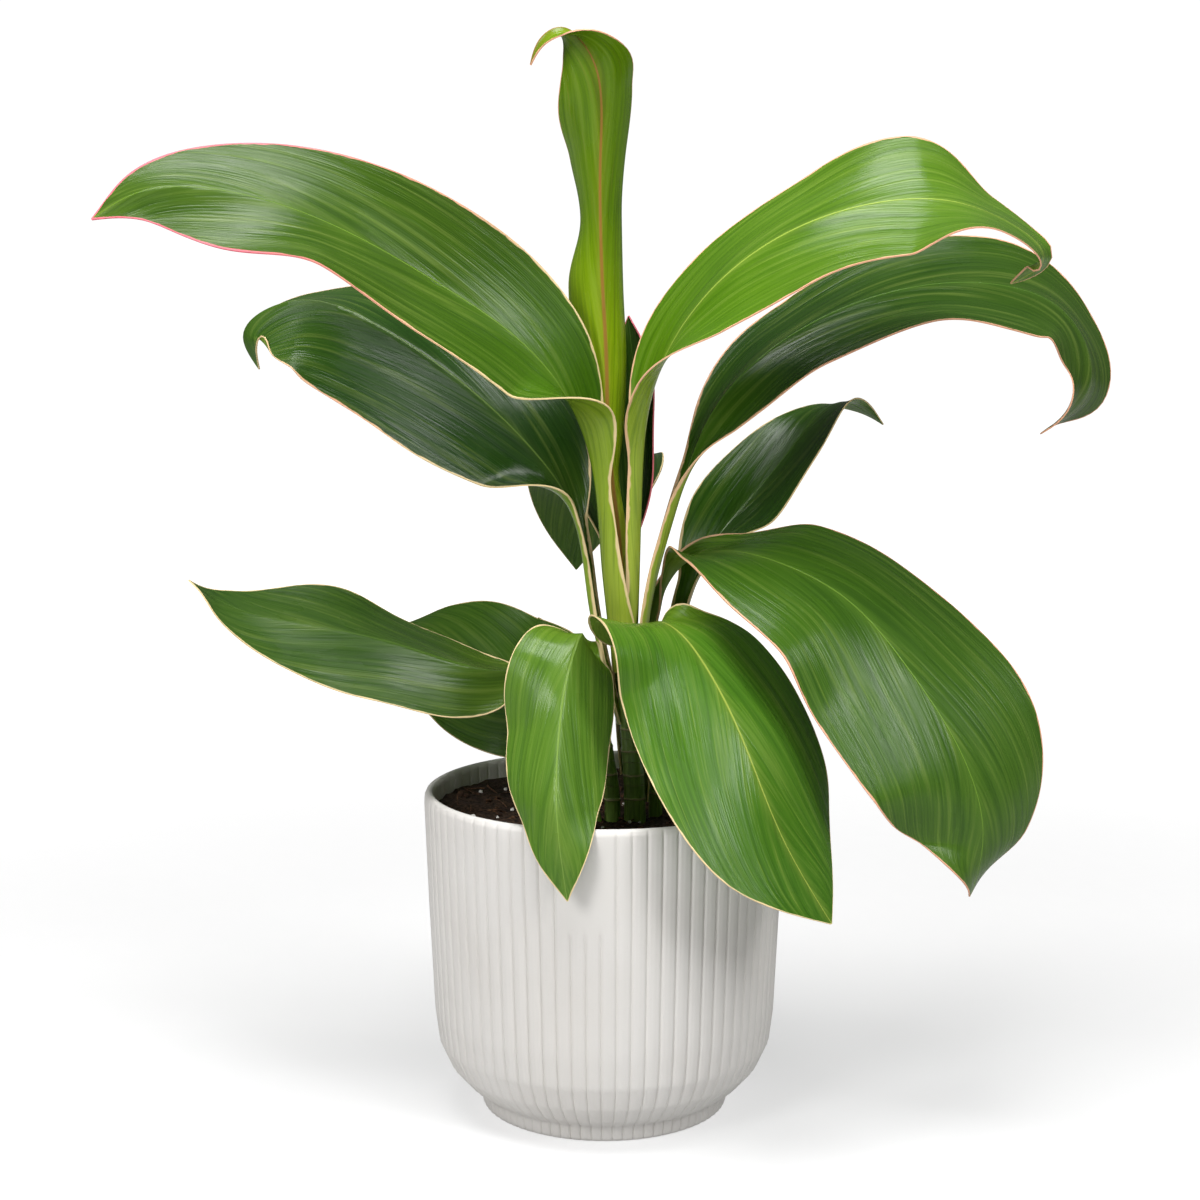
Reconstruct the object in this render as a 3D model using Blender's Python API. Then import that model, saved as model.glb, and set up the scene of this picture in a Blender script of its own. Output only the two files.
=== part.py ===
import math
import random

import bpy
import numpy as np

# Everything below is in millimetres and degrees, and MM turns it into metres.
# Azimuth 0 is +X, 90 is +Y (the back), -90 is the front.
MM = 0.001
GAP = 0.3

# Pot: ribbed shell. Each ring is height, radius, rib depth.
RIBS = 76
GROOVE_AZIMUTH = -91.2
CREST_SHARES = (0.28, 0.72)
POT_OUTSIDE = [
    (0, 61.8, 0.5),
    (8, 63.0, 0.8),
    (13, 70.0, 0.9),
    (22, 78.0, 0.9),
    (34, 83.5, 0.9),
    (50, 85.5, 0.9),
    (106, 88.1, 0.9),
    (112, 88.3, 0.9),
    (155, 89.9, 0.8),
    (159.6, 89.2, 0.3),
    (161, 87.4, 0.0),
]
POT_INSIDE = [(159.2, 85.2, 0.3), (142, 84.5, 0.6)]
POT_LINING = [(137, 84.3), (56, 82.0), (30, 78.0), (12, 64.0), (5, 56.0)]
# Bare patch at the top of the front, between two grooves.
PATCH_AZIMUTHS = (-104.0, -88.0)
PATCH_BOTTOM = 110

# Soil: its surface dips from the wall to the canes.
SOIL_WALL_HEIGHT = 151.5
SOIL_MIDDLE_HEIGHT = 147.0
SOIL_RINGS = (16, 32, 48, 62, 75)
SOIL_SECTORS = 36
SOIL_UNEVENNESS = 0.9
WALL_CLEARANCE = 0.5
HOLE_CLEARANCE = 0.35
SEED = 7
BARK_BITS = 22
BARK_SIZES = ((5, 10), (2.5, 4.5), (2, 3))
PERLITE_GRAINS = 16
PERLITE_RADII = (1.2, 2.2)
BIT_TILT = 0.4
BIT_SINK = 0.2
BITS_REACH = 76
BITS_TO_CANE = 7

# Canes: a path of x, y, height, with radii at the foot and the top, and the heights of the nodes.
CANES = {
    "cane_main": {
        "path": [(15, -15, 105), (15, -15, 155), (13, -14.8, 190), (11, -14, 225), (9, -13, 253.2)],
        "radii": (5.6, 4.7),
        "nodes": (159, 171, 183, 194),
        "swelling": 0.45,
        "rows": 22,
    },
    "cane_left": {
        "path": [(4, -13, 105), (4, -13, 155), (1, -14, 180), (-4, -16, 205), (-8, -17.5, 222)],
        "radii": (4.2, 3.6),
        "nodes": (158, 171, 185),
        "swelling": 0.4,
        "rows": 18,
    },
    "cane_right": {
        "path": [(25.5, -7, 105), (25.5, -7, 155), (26.5, -7, 180), (28, -6.5, 213)],
        "radii": (3.6, 3.2),
        "nodes": (160, 174, 187),
        "swelling": 0.35,
        "rows": 16,
    },
    "shoot_low": {
        "path": [(-2.8, -17, 125), (-2.8, -17, 147), (-3.2, -17.6, 152), (-4, -18.6, 159)],
        "radii": (2.4, 0.7),
        "nodes": (),
        "swelling": 0.0,
        "rows": 8,
    },
}
CANE_SIDES = 12
NODE_STEPS = (-2, 0, 1.2)
NODE_SPACE = 3.5

# Leaves. Each is one strip: a sheath round its cane, a channelled stalk and a blade.
# seat: the cane, the height and the azimuth where the sheath starts.
# azimuth: the way the leaf points. width: of the whole blade. widest: where, as a share of the blade.
# stalk: share of the length before the blade. rise, fall: how fast the blade widens and narrows.
# sheath, neck: half widths of the sheath's foot and the stalk's end.
# channel, arch: how far each half bends across, in the stalk and in the blade.
# skew: how much wider the left half is than the right at the base.
# wave: height, count along the leaf, and phases of the left and the right margin.
# rows: x, y, height of the midrib, and how far the left and the right half are lifted.
THICKNESS = 1.0
SHEATH_GAP = 0.6
LEAF_ROWS = 16
LEAF_COLUMNS = 6
# A sheath lets go of its cane within this share of the stalk, and closes no further than this.
SHEATH_SHARE = 0.6
MOST_CLASP = 165
# Where the channel starts to open into the blade, as a share of the stalk, and over what share of the leaf.
OPENING_START = 0.8
OPENING_SHARE = 0.22
# The skew fades out by this share of the leaf, and the waves fade in at this rate.
SKEW_SHARE = 0.5
WAVE_RATE = 6
LEAVES = {
    "leaf_top": {
        "seat": ("cane_main", 254.4, -90), "azimuth": 185, "width": 50, "widest": 0.5, "stalk": 0.22,
        "rise": 0.6, "fall": 1.4, "sheath": 6, "neck": 6, "channel": 110, "arch": 60,
        "skew": 0, "wave": (0, 3, 0, 0),
        "rows": [
            (7.5, -13, 285, 130, -35), (3, -10, 322, 145, -40), (1.5, -8, 345, 145, -40),
            (1, -7, 371, 147, -45), (-1, -6, 410, 150, -40), (-2, -6, 442, 150, -18),
            (-2, -7, 470, 145, -34), (-2, -10, 500, 125, -75), (-9, -16, 521, 40, -50),
            (-21, -18, 529, -30, -10), (-30, -18, 524, -40, 0), (-35, -16, 512, -40, 0),
        ],
    },
    "leaf_upper_left": {
        "seat": ("cane_main", 222, 190), "azimuth": 190, "width": 76, "widest": 0.42, "stalk": 0.25,
        "rise": 0.8, "fall": 2.0, "sheath": 14, "neck": 8, "channel": 95, "arch": 20,
        "skew": 0.2, "wave": (2, 3, 0, 0.3),
        "rows": [
            (1.5, -15.5, 250, 50, 50), (-1, -17, 275, 50, 40), (-10, -22, 338, 50, 50),
            (-32, -27, 375, -50, 72), (-75, -35, 408, -40, 85), (-125, -44, 436, -35, 65),
            (-178, -56, 452, -60, 50), (-212, -62, 450, -65, 40), (-232, -66, 438, -60, 30),
        ],
    },
    "leaf_second_left": {
        "seat": ("cane_main", 196, 165), "azimuth": 165, "width": 88, "widest": 0.42, "stalk": 0.3,
        "rise": 0.8, "fall": 2.2, "sheath": 6, "neck": 6, "channel": 100, "arch": 20,
        "skew": 0, "wave": (2, 3, 0, 0.3),
        "rows": [
            (-1, -12, 226, 45, 45), (-7, -10, 252, 50, 50), (-16, 0, 300, 30, 50),
            (-38, 8, 332, -60, 60), (-76, 20, 366, -70, 40), (-119, 32, 393, -75, 25),
            (-160, 42, 402, -65, 10), (-184, 48, 385, -60, 10), (-176, 46, 368, -50, 10),
        ],
    },
    "leaf_upper_right": {
        "seat": ("cane_main", 238, -10), "azimuth": -10, "width": 80, "widest": 0.45, "stalk": 0.245,
        "rise": 0.8, "fall": 1.9, "sheath": 8, "neck": 9, "channel": 90, "arch": 15,
        "skew": -0.1, "wave": (2, 3, 0, 0.3),
        "rows": [
            (17, -14, 275, 48, 48), (18, -15, 315, 45, 45), (24, -20, 362, 40, 10),
            (46, -27, 402, 30, -30), (91, -38, 436, 35, -45), (140, -46, 448, 50, -42),
            (180, -50, 440, 18, -10), (203, -44, 420, 15, -20), (190, -36, 410, 20, -30),
        ],
    },
    "leaf_second_right": {
        "seat": ("cane_main", 198, 8), "azimuth": 8, "width": 78, "widest": 0.45, "stalk": 0.31,
        "rise": 0.8, "fall": 2.2, "sheath": 8, "neck": 7, "channel": 85, "arch": 20,
        "skew": -0.3, "wave": (2, 3, 0, 0.3),
        "rows": [
            (20, -13, 228, 45, 45), (22, -11, 250, 43, 43), (35, -1, 300, 45, 45),
            (52, 10, 345, 20, -50), (93, 26, 385, 20, -28), (150, 38, 408, 35, -28),
            (202, 44, 410, 38, -35), (235, 44, 395, 33, -36), (245, 36, 360, 48, -55),
            (220, 30, 336, 10, -10),
        ],
    },
    "leaf_short_right": {
        "seat": ("cane_right", 194, 60), "azimuth": 40, "width": 52, "widest": 0.4, "stalk": 0.33,
        "rise": 0.8, "fall": 1.1, "sheath": 5, "neck": 8, "channel": 70, "arch": 15,
        "skew": 0, "wave": (1, 3, 0, 0.3),
        "rows": [
            (35, 4, 225, 40, 40), (41, 18, 250, 40, 40), (53, 37, 275, 60, 20),
            (71, 53, 296, 48, -5), (97, 66, 325, 25, 5), (128, 80, 350, -10, 10),
            (148, 84, 338, 10, 10),
        ],
    },
    "leaf_big_right": {
        "seat": ("cane_main", 156, 38), "azimuth": -25, "width": 110, "widest": 0.55, "stalk": 0.31,
        "rise": 0.7, "fall": 1.8, "sheath": 6, "neck": 7, "channel": 70, "arch": -10,
        "skew": 0.3, "wave": (2, 3, 0, 0.3),
        "rows": [
            (20.5, -6, 190, 95, -35), (23, -2, 222, 95, -35), (26, 8, 247, 90, -30),
            (37, 9, 270, 40, 45), (55, -4, 280, 10, 0), (83, -23, 277, 20, -25),
            (115, -37, 261, 20, -32), (143, -50, 230, 25, -45), (168, -61, 190, 32, -40),
            (178, -65, 150, 28, -55), (173, -62, 122, 0, 0),
        ],
    },
    "leaf_front_right": {
        "seat": ("cane_right", 200, -50), "azimuth": -45, "width": 98, "widest": 0.5, "stalk": 0.2,
        "rise": 0.45, "fall": 1.6, "sheath": 5, "neck": 7, "channel": 60, "arch": -15,
        "skew": -0.4, "wave": (2, 3, 0, 0.3),
        "rows": [
            (29, -18, 232, 30, 30), (24, -28, 248, 10, 12), (32, -42, 248, 5, 5),
            (47, -57, 232, 0, -20), (63, -75, 202, 4, -30), (81, -88, 158, -5, -10),
            (104, -94, 118, 0, 0),
        ],
    },
    "leaf_front_left": {
        "seat": ("cane_left", 212, -105), "azimuth": -100, "width": 60, "widest": 0.4, "stalk": 0.2,
        "rise": 0.5, "fall": 1.2, "sheath": 5, "neck": 6, "channel": 60, "arch": -15,
        "skew": 0, "wave": (1, 3, 0, 0.3),
        "rows": [
            (-9.5, -29, 236, 15, 10), (-11, -42, 245, -50, 12), (-16, -57, 234, -48, 10),
            (-21, -76, 206, -46, -25), (-22, -95, 172, -45, -30), (-17, -98, 130, 0, 0),
        ],
    },
    "leaf_low_left": {
        "seat": ("cane_left", 200, 188), "azimuth": 188, "width": 62, "widest": 0.45, "stalk": 0.215,
        "rise": 0.45, "fall": 1.1, "sheath": 5, "neck": 6, "channel": 60, "arch": 10,
        "skew": 0, "wave": (1.5, 3, 0, 0.3),
        "rows": [
            (-22, -18, 219, 10, 35), (-49, -20, 223, -72, 10), (-100, -30, 238, -60, 20),
            (-150, -38, 250, -52, 38), (-180, -42, 259, -30, 30), (-197, -44, 271, 0, 0),
        ],
    },
    "leaf_back_left": {
        "seat": ("cane_left", 186, 150), "azimuth": 150, "width": 76, "widest": 0.28, "stalk": 0.2,
        "rise": 0.5, "fall": 1.3, "sheath": 5, "neck": 6, "channel": 60, "arch": 0,
        "skew": 0, "wave": (1.5, 3, 0, 0.3),
        "rows": [
            (-16, 0, 206, 30, 40), (-32, 14, 211, -60, 45), (-46, 24, 209, -85, 58),
            (-64, 36, 216, -55, 55), (-92, 52, 226, -40, 45), (-124, 66, 232, 0, 0),
        ],
    },
    "leaf_back": {
        "seat": ("cane_main", 170, 90), "azimuth": 100, "width": 70, "widest": 0.42, "stalk": 0.37,
        "rise": 0.8, "fall": 1.6, "sheath": 8.5, "neck": 6, "channel": 50, "arch": 10,
        "skew": 0, "wave": (2, 3, 0, 0.3),
        "rows": [
            (11, -3, 215, 20, 20), (6, 4, 252, 40, 40), (3, 20, 288, 30, 30), (0, 52, 315, 10, 10),
            (-6, 98, 318, 0, 0), (-12, 145, 290, 0, 0), (-16, 172, 250, 0, 0),
        ],
    },
    "leaf_back_right": {
        "seat": ("cane_main", 212, 90), "azimuth": 60, "width": 32, "widest": 0.5, "stalk": 0.41,
        "rise": 0.8, "fall": 1.4, "sheath": 4, "neck": 4, "channel": 50, "arch": 40,
        "skew": 0, "wave": (1, 3, 0, 0.3),
        "rows": [
            (10.5, -2.5, 250, 25, 25), (15, 0, 300, 25, 25), (16, 10, 350, 30, 30),
            (12, 24, 395, 20, 20),
        ],
    },
}

# Materials: colour, roughness.
OFF_WHITE = ((0.78, 0.76, 0.73), 0.45)
COMPOST = ((0.045, 0.024, 0.014), 0.95)
CANE_GREEN = ((0.16, 0.27, 0.04), 0.5)
LEAF_COLOURS = {
    "leaf_top": (0.23, 0.42, 0.02),
    "leaf_upper_left": (0.045, 0.15, 0.025),
    "leaf_second_left": (0.02, 0.09, 0.025),
    "leaf_upper_right": (0.10, 0.27, 0.03),
    "leaf_second_right": (0.02, 0.09, 0.02),
    "leaf_short_right": (0.02, 0.09, 0.02),
    "leaf_big_right": (0.04, 0.18, 0.02),
    "leaf_front_right": (0.045, 0.18, 0.025),
    "leaf_front_left": (0.05, 0.19, 0.03),
    "leaf_low_left": (0.035, 0.13, 0.02),
    "leaf_back_left": (0.045, 0.15, 0.02),
    "leaf_back": (0.02, 0.08, 0.02),
    "leaf_back_right": (0.03, 0.10, 0.02),
}
LEAF_ROUGHNESS = 0.35


def make_material(name, colour, roughness):
    material = bpy.data.materials.new(name)
    material.use_nodes = True
    shader = material.node_tree.nodes["Principled BSDF"]
    shader.inputs["Base Color"].default_value = (*colour, 1)
    shader.inputs["Roughness"].default_value = roughness
    shader.inputs["Metallic"].default_value = 0
    material.diffuse_color = (*colour, 1)
    return material


# A named mesh object from points in millimetres.
def make_object(name, points, faces, material, smooth_angle):
    mesh = bpy.data.meshes.new(name)
    mesh.from_pydata([tuple(float(c) * MM for c in point) for point in points], [], faces)
    mesh.shade_smooth()
    mesh.set_sharp_from_angle(angle=math.radians(smooth_angle))
    mesh.materials.append(material)
    part = bpy.data.objects.new(name, mesh)
    bpy.context.scene.collection.objects.link(part)
    return part


def smooth_step(value):
    value = np.clip(value, 0, 1)
    return value * value * (3 - 2 * value)


# Natural cubic spline through values at knots, read at the places in at.
def natural_spline(knots, values, at):
    knots = np.asarray(knots, float)
    values = np.asarray(values, float)
    count = len(knots)
    step = np.diff(knots)
    matrix = np.eye(count)
    right = np.zeros_like(values)
    for i in range(1, count - 1):
        matrix[i, i - 1:i + 2] = step[i - 1], 2 * (step[i - 1] + step[i]), step[i]
        slopes = (values[i + 1] - values[i]) / step[i], (values[i] - values[i - 1]) / step[i - 1]
        right[i] = 6 * (slopes[0] - slopes[1])
    bend = np.linalg.solve(matrix, right)
    k = np.clip(np.searchsorted(knots, at, side="right") - 1, 0, count - 2)
    width = step[k][:, None]
    low = (knots[k + 1] - at)[:, None] / width
    high = 1 - low
    line = low * values[k] + high * values[k + 1]
    return line + ((low**3 - low) * bend[k] + (high**3 - high) * bend[k + 1]) * width**2 / 6


# Curve through values at knots that never overshoots them.
def steady_spline(knots, values, at):
    knots = np.asarray(knots, float)
    values = np.asarray(values, float)
    rise = np.diff(values) / np.diff(knots)
    slope = np.zeros(len(values))
    for i in range(1, len(values) - 1):
        if rise[i - 1] * rise[i] > 0:
            slope[i] = 2 * rise[i - 1] * rise[i] / (rise[i - 1] + rise[i])
    k = np.clip(np.searchsorted(knots, at, side="right") - 1, 0, len(values) - 2)
    width = knots[k + 1] - knots[k]
    t = (at - knots[k]) / width
    start = (2 * t**3 - 3 * t**2 + 1) * values[k] + (t**3 - 2 * t**2 + t) * width * slope[k]
    end = (3 * t**2 - 2 * t**3) * values[k + 1] + (t**3 - t**2) * width * slope[k + 1]
    return start + end


# Points close together along a smooth path, and the distance to each.
def path_curve(points, samples=400):
    points = np.asarray(points, float)
    knots = np.append(0, np.cumsum(np.linalg.norm(np.diff(points, axis=0), axis=1)))
    fine = np.linspace(0, knots[-1], samples + 1)
    curve = natural_spline(knots, points, fine)
    lengths = np.append(0, np.cumsum(np.linalg.norm(np.diff(curve, axis=0), axis=1)))
    return knots, fine, curve, lengths


# The centre line's x and y and the radius of a cane at some heights.
def cane_at(name, heights):
    cane = CANES[name]
    x, y, z = np.array(cane["path"], float).T
    inside = np.clip(heights, z[0], z[-1])
    radii = np.interp(inside, (z[0], z[-1]), cane["radii"])
    return steady_spline(z, x, inside), steady_spline(z, y, inside), radii


# Where the midrib starts: just off its cane, or on the cane's top.
def seat_point(leaf):
    cane, height, azimuth = leaf["seat"]
    x, y, radius = cane_at(cane, height)
    on_top = height > CANES[cane]["path"][-1][2]
    reach = radius - THICKNESS / 2 if on_top else radius + SHEATH_GAP + THICKNESS / 2
    reach /= math.cos(leaf["sheath"] / reach / LEAF_COLUMNS)
    turn = math.radians(azimuth)
    return x + reach * math.cos(turn), y + reach * math.sin(turn), height


# Half the width of the strip at a share of its length.
def half_width(share, leaf):
    half = leaf["width"] / 2
    along = np.clip((share - leaf["stalk"]) / (1 - leaf["stalk"]), 0, 1)
    widest = leaf["widest"]
    rise = np.sin(math.pi / 2 * np.clip(along / widest, 0, 1) ** leaf["rise"])
    fall = np.cos(math.pi / 2 * np.clip((along - widest) / (1 - widest), 0, 1) ** leaf["fall"])
    blend = smooth_step(share / leaf["stalk"])
    stalk = leaf["sheath"] + (leaf["neck"] - leaf["sheath"]) * blend
    width = np.where(along < widest, stalk + (half - stalk) * rise, half * fall)
    return np.maximum(width, THICKNESS)


# The middle surface of a leaf as a grid of points, rows along it and columns across it.
def leaf_sheet(leaf, rows, columns):
    table = np.array([seat_point(leaf) + leaf["rows"][0][3:]] + leaf["rows"], float)
    knots, fine, curve, lengths = path_curve(table[:, :3])
    share = np.linspace(0, 1, rows + 1)
    place = np.interp(share * lengths[-1], lengths, fine)
    midrib = natural_spline(knots, table[:, :3], place)
    slopes = np.gradient(curve, fine, axis=0)
    ahead = np.stack([np.interp(place, fine, slopes[:, axis]) for axis in range(3)], 1)
    ahead /= np.linalg.norm(ahead, axis=1)[:, None]
    turn = math.radians(leaf["azimuth"])
    level = np.array([-math.sin(turn), math.cos(turn), 0])
    side = level - (ahead @ level)[:, None] * ahead
    side /= np.linalg.norm(side, axis=1)[:, None]
    up = np.cross(ahead, side)
    width = half_width(share, leaf)
    x, y, _ = cane_at(leaf["seat"][0], midrib[:, 2])
    off_x, off_y = midrib[:, 0] - x, midrib[:, 1] - y
    roll = (np.degrees(np.arctan2(off_y, off_x)) - leaf["azimuth"] + 180) % 360 - 180
    free = smooth_step(share / (SHEATH_SHARE * leaf["stalk"]))
    opening = smooth_step((share - OPENING_START * leaf["stalk"]) / OPENING_SHARE)
    skew = leaf["skew"] * (1 - smooth_step(share / SKEW_SHARE))
    height, count, *phases = leaf["wave"]
    fullness = width / (leaf["width"] / 2)
    waving = height * fullness * np.clip((share - leaf["stalk"]) * WAVE_RATE, 0, 1)
    points = np.repeat(midrib[:, None], columns + 1, axis=1)
    for sign in (-1, 1):
        reach = width * (1 + sign * skew)
        clasp = np.minimum(np.degrees(reach / np.hypot(off_x, off_y)), MOST_CLASP)
        bend = clasp + (leaf["channel"] - clasp) * free
        bend = np.radians(bend + (leaf["arch"] - bend) * opening)
        bend = np.where(abs(bend) < 0.03, 0.03, bend)
        lift = steady_spline(knots, table[:, 3 if sign > 0 else 4], place)
        clasped = clasp / 2 + sign * roll
        lift = np.radians(clasped + (lift - clasped) * free)
        wave = waving * np.sin(2 * math.pi * (count * share + phases[sign < 0]))
        for step in range(1, columns // 2 + 1):
            across = 2 * step / columns
            start = lift - bend / 2
            end = start + bend * across
            out = reach * (np.sin(end) - np.sin(start)) / bend - wave * across**2 * np.sin(lift)
            rise = reach * (np.cos(start) - np.cos(end)) / bend + wave * across**2 * np.cos(lift)
            points[:, columns // 2 + sign * step] += side * (sign * out)[:, None] + up * rise[:, None]
    return points


# A leaf's solid: its sheet of triangles, given its thickness half to each side.
def make_leaf(name, leaf):
    points = leaf_sheet(leaf, LEAF_ROWS, LEAF_COLUMNS).reshape(-1, 3)
    faces = []
    for row in range(LEAF_ROWS):
        for column in range(LEAF_COLUMNS):
            a = row * (LEAF_COLUMNS + 1) + column
            b = a + LEAF_COLUMNS + 1
            faces += [(a, b, b + 1), (a, b + 1, a + 1)]
    colour = make_material(name, LEAF_COLOURS[name], LEAF_ROUGHNESS)
    part = make_object(name, points, faces, colour, 60)
    solidify = part.modifiers.new("thickness", "SOLIDIFY")
    solidify.thickness = THICKNESS * MM
    solidify.offset = 0
    solidify.use_quality_normals = True
    return part


# One ring of the ribbed wall: a groove and two crest points for each rib.
def rib_ring(height, radius, depth):
    ring = []
    pitch = 360 / RIBS
    for rib in range(RIBS):
        for share in (0, *CREST_SHARES):
            azimuth = GROOVE_AZIMUTH + (rib + share) * pitch
            on_patch = PATCH_AZIMUTHS[0] < (azimuth + 180) % 360 - 180 < PATCH_AZIMUTHS[1]
            bare = on_patch and height > PATCH_BOTTOM
            cut = depth if share == 0 and not bare else 0
            turn = math.radians(azimuth)
            ring.append(((radius - cut) * math.cos(turn), (radius - cut) * math.sin(turn), height))
    return ring


def plain_ring(height, radius, sides, start=0):
    turns = [math.radians(start + 360 * i / sides) for i in range(sides)]
    return [(radius * math.cos(turn), radius * math.sin(turn), height) for turn in turns]


# Quads between two rings of as many points each, given by their first index.
def bridge(faces, low, high, count):
    for i in range(count):
        j = (i + 1) % count
        faces.append((low + i, low + j, high + j, high + i))


# The shell from the middle of its foot, up outside, over the lip and down inside.
def make_pot():
    ribbed = 3 * RIBS
    points = []
    faces = []
    for ring in POT_OUTSIDE:
        points += rib_ring(*ring)
    for height, radius, depth in POT_INSIDE:
        points += rib_ring(height, radius, -depth)
    rings = len(POT_OUTSIDE) + len(POT_INSIDE)
    for ring in range(rings - 1):
        bridge(faces, ring * ribbed, (ring + 1) * ribbed, ribbed)
    faces.append(tuple(reversed(range(ribbed))))
    last = (rings - 1) * ribbed
    lining = rings * ribbed
    for height, radius in POT_LINING:
        points += plain_ring(height, radius, RIBS, GROOVE_AZIMUTH)
    for rib in range(RIBS):
        a = last + 3 * rib
        b = last + 3 * ((rib + 1) % RIBS)
        low, next_low = lining + rib, lining + (rib + 1) % RIBS
        faces.append((a, a + 1, low))
        faces.append((a + 1, a + 2, next_low, low))
        faces.append((a + 2, b, next_low))
    for ring in range(len(POT_LINING) - 1):
        bridge(faces, lining + ring * RIBS, lining + (ring + 1) * RIBS, RIBS)
    floor = lining + (len(POT_LINING) - 1) * RIBS
    faces.append(tuple(range(floor, floor + RIBS)))
    return make_object("pot", points, faces, make_material("off_white_plastic", *OFF_WHITE), 25)


def soil_height(x, y):
    share = min(math.hypot(x, y) / POT_INSIDE[-1][1], 1)
    return SOIL_MIDDLE_HEIGHT + (SOIL_WALL_HEIGHT - SOIL_MIDDLE_HEIGHT) * share**2


# The fill's points and faces: an uneven top, then down along the lining to the floor.
def soil_body(draw):
    points = [(0, 0, SOIL_MIDDLE_HEIGHT)]
    for radius in SOIL_RINGS + (POT_INSIDE[-1][1] - WALL_CLEARANCE,):
        for x, y, _ in plain_ring(0, radius, SOIL_SECTORS):
            unevenness = draw.uniform(-SOIL_UNEVENNESS, SOIL_UNEVENNESS)
            points.append((x, y, soil_height(x, y) + unevenness))
    clear = math.cos(math.pi / RIBS)
    for height, radius in POT_LINING:
        raised = height + GAP if height == POT_LINING[-1][0] else height
        points += plain_ring(raised, radius * clear - WALL_CLEARANCE, SOIL_SECTORS)
    faces = []
    for i in range(SOIL_SECTORS):
        faces.append((0, 1 + i, 1 + (i + 1) % SOIL_SECTORS))
    rings = len(SOIL_RINGS) + 1 + len(POT_LINING)
    for ring in range(rings - 1):
        low = 1 + (ring + 1) * SOIL_SECTORS
        bridge(faces, low, low - SOIL_SECTORS, SOIL_SECTORS)
    last = 1 + (rings - 1) * SOIL_SECTORS
    faces.append(tuple(reversed(range(last, last + SOIL_SECTORS))))
    return points, faces


# A place on the soil that is clear of every cane.
def free_spot(draw):
    while True:
        distance = BITS_REACH * math.sqrt(draw.random())
        turn = draw.uniform(0, 2 * math.pi)
        x, y = distance * math.cos(turn), distance * math.sin(turn)
        feet = [(cane["path"][0], cane["radii"][0]) for cane in CANES.values()]
        if all(math.hypot(x - foot[0], y - foot[1]) > radius + BITS_TO_CANE for foot, radius in feet):
            return x, y


# A bark bit or a perlite grain, sunk to about half its height in the soil.
def make_lump(kind, draw):
    x, y = free_spot(draw)
    if kind == "bark":
        bpy.ops.mesh.primitive_cube_add(size=MM)
        size = [draw.uniform(*limits) for limits in BARK_SIZES]
    else:
        bpy.ops.mesh.primitive_ico_sphere_add(subdivisions=1, radius=MM)
        size = [draw.uniform(*PERLITE_RADII)] * 3
    lump = bpy.context.active_object
    lump.scale = size
    tilts = [draw.uniform(-BIT_TILT, BIT_TILT) for _ in range(2)]
    lump.rotation_euler = (*tilts, draw.uniform(0, 2 * math.pi))
    lump.location = (x * MM, y * MM, (soil_height(x, y) - BIT_SINK) * MM)
    bpy.ops.object.transform_apply(location=True, rotation=True, scale=True)
    return lump


# A plug the size of a cane's hole in the soil.
def make_hole_cutter(name):
    cane = CANES[name]
    foot = cane["path"][0]
    top = POT_OUTSIDE[-1][0]
    radius = (cane["radii"][0] + HOLE_CLEARANCE) / math.cos(math.pi / CANE_SIDES)
    bpy.ops.mesh.primitive_cylinder_add(
        vertices=CANE_SIDES, radius=radius * MM, depth=(top - foot[2] + GAP) * MM,
        location=(foot[0] * MM, foot[1] * MM, (top + foot[2] - GAP) / 2 * MM))
    return bpy.context.active_object


# Applies one Boolean with a collection of objects, then removes them.
def join_by_boolean(target, others, operation):
    group = bpy.data.collections.new(operation)
    bpy.context.scene.collection.children.link(group)
    for other in others:
        for owner in list(other.users_collection):
            owner.objects.unlink(other)
        group.objects.link(other)
    boolean = target.modifiers.new(operation, "BOOLEAN")
    boolean.operation = operation
    boolean.operand_type = "COLLECTION"
    boolean.collection = group
    boolean.solver = "EXACT"
    bpy.context.view_layer.objects.active = target
    bpy.ops.object.modifier_apply(modifier=boolean.name)
    for other in others:
        bpy.data.objects.remove(other)
    bpy.data.collections.remove(group)


def make_soil():
    draw = random.Random(SEED)
    points, faces = soil_body(draw)
    soil = make_object("soil", points, faces, make_material("compost", *COMPOST), 30)
    lumps = [make_lump("bark", draw) for _ in range(BARK_BITS)]
    lumps += [make_lump("perlite", draw) for _ in range(PERLITE_GRAINS)]
    join_by_boolean(soil, lumps, "UNION")
    join_by_boolean(soil, [make_hole_cutter(name) for name in CANES], "DIFFERENCE")
    return soil


# A tapered stem with swollen nodes along its path.
def make_cane(name):
    cane = CANES[name]
    foot, top = cane["path"][0][2], cane["path"][-1][2]
    heights = list(np.linspace(foot, top, cane["rows"]))
    heights = [h for h in heights if all(abs(h - node) > NODE_SPACE for node in cane["nodes"])]
    heights = sorted(heights + [node + step for node in cane["nodes"] for step in NODE_STEPS])
    points = []
    for height in heights:
        x, y, radius = cane_at(name, height)
        radius += cane["swelling"] * (height in cane["nodes"])
        for px, py, _ in plain_ring(0, radius, CANE_SIDES):
            points.append((x + px, y + py, height))
    faces = []
    for row in range(len(heights) - 1):
        bridge(faces, row * CANE_SIDES, (row + 1) * CANE_SIDES, CANE_SIDES)
    last = (len(heights) - 1) * CANE_SIDES
    faces.append(tuple(reversed(range(CANE_SIDES))))
    faces.append(tuple(range(last, last + CANE_SIDES)))
    return make_object(name, points, faces, make_material(name, *CANE_GREEN), 50)


def main():
    for thing in list(bpy.data.objects):
        bpy.data.objects.remove(thing)
    make_pot()
    make_soil()
    for name in CANES:
        make_cane(name)
    for name, leaf in LEAVES.items():
        make_leaf(name, leaf)


main()
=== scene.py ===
import math
import random

import bpy
import numpy as np
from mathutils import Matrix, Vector, noise


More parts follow.
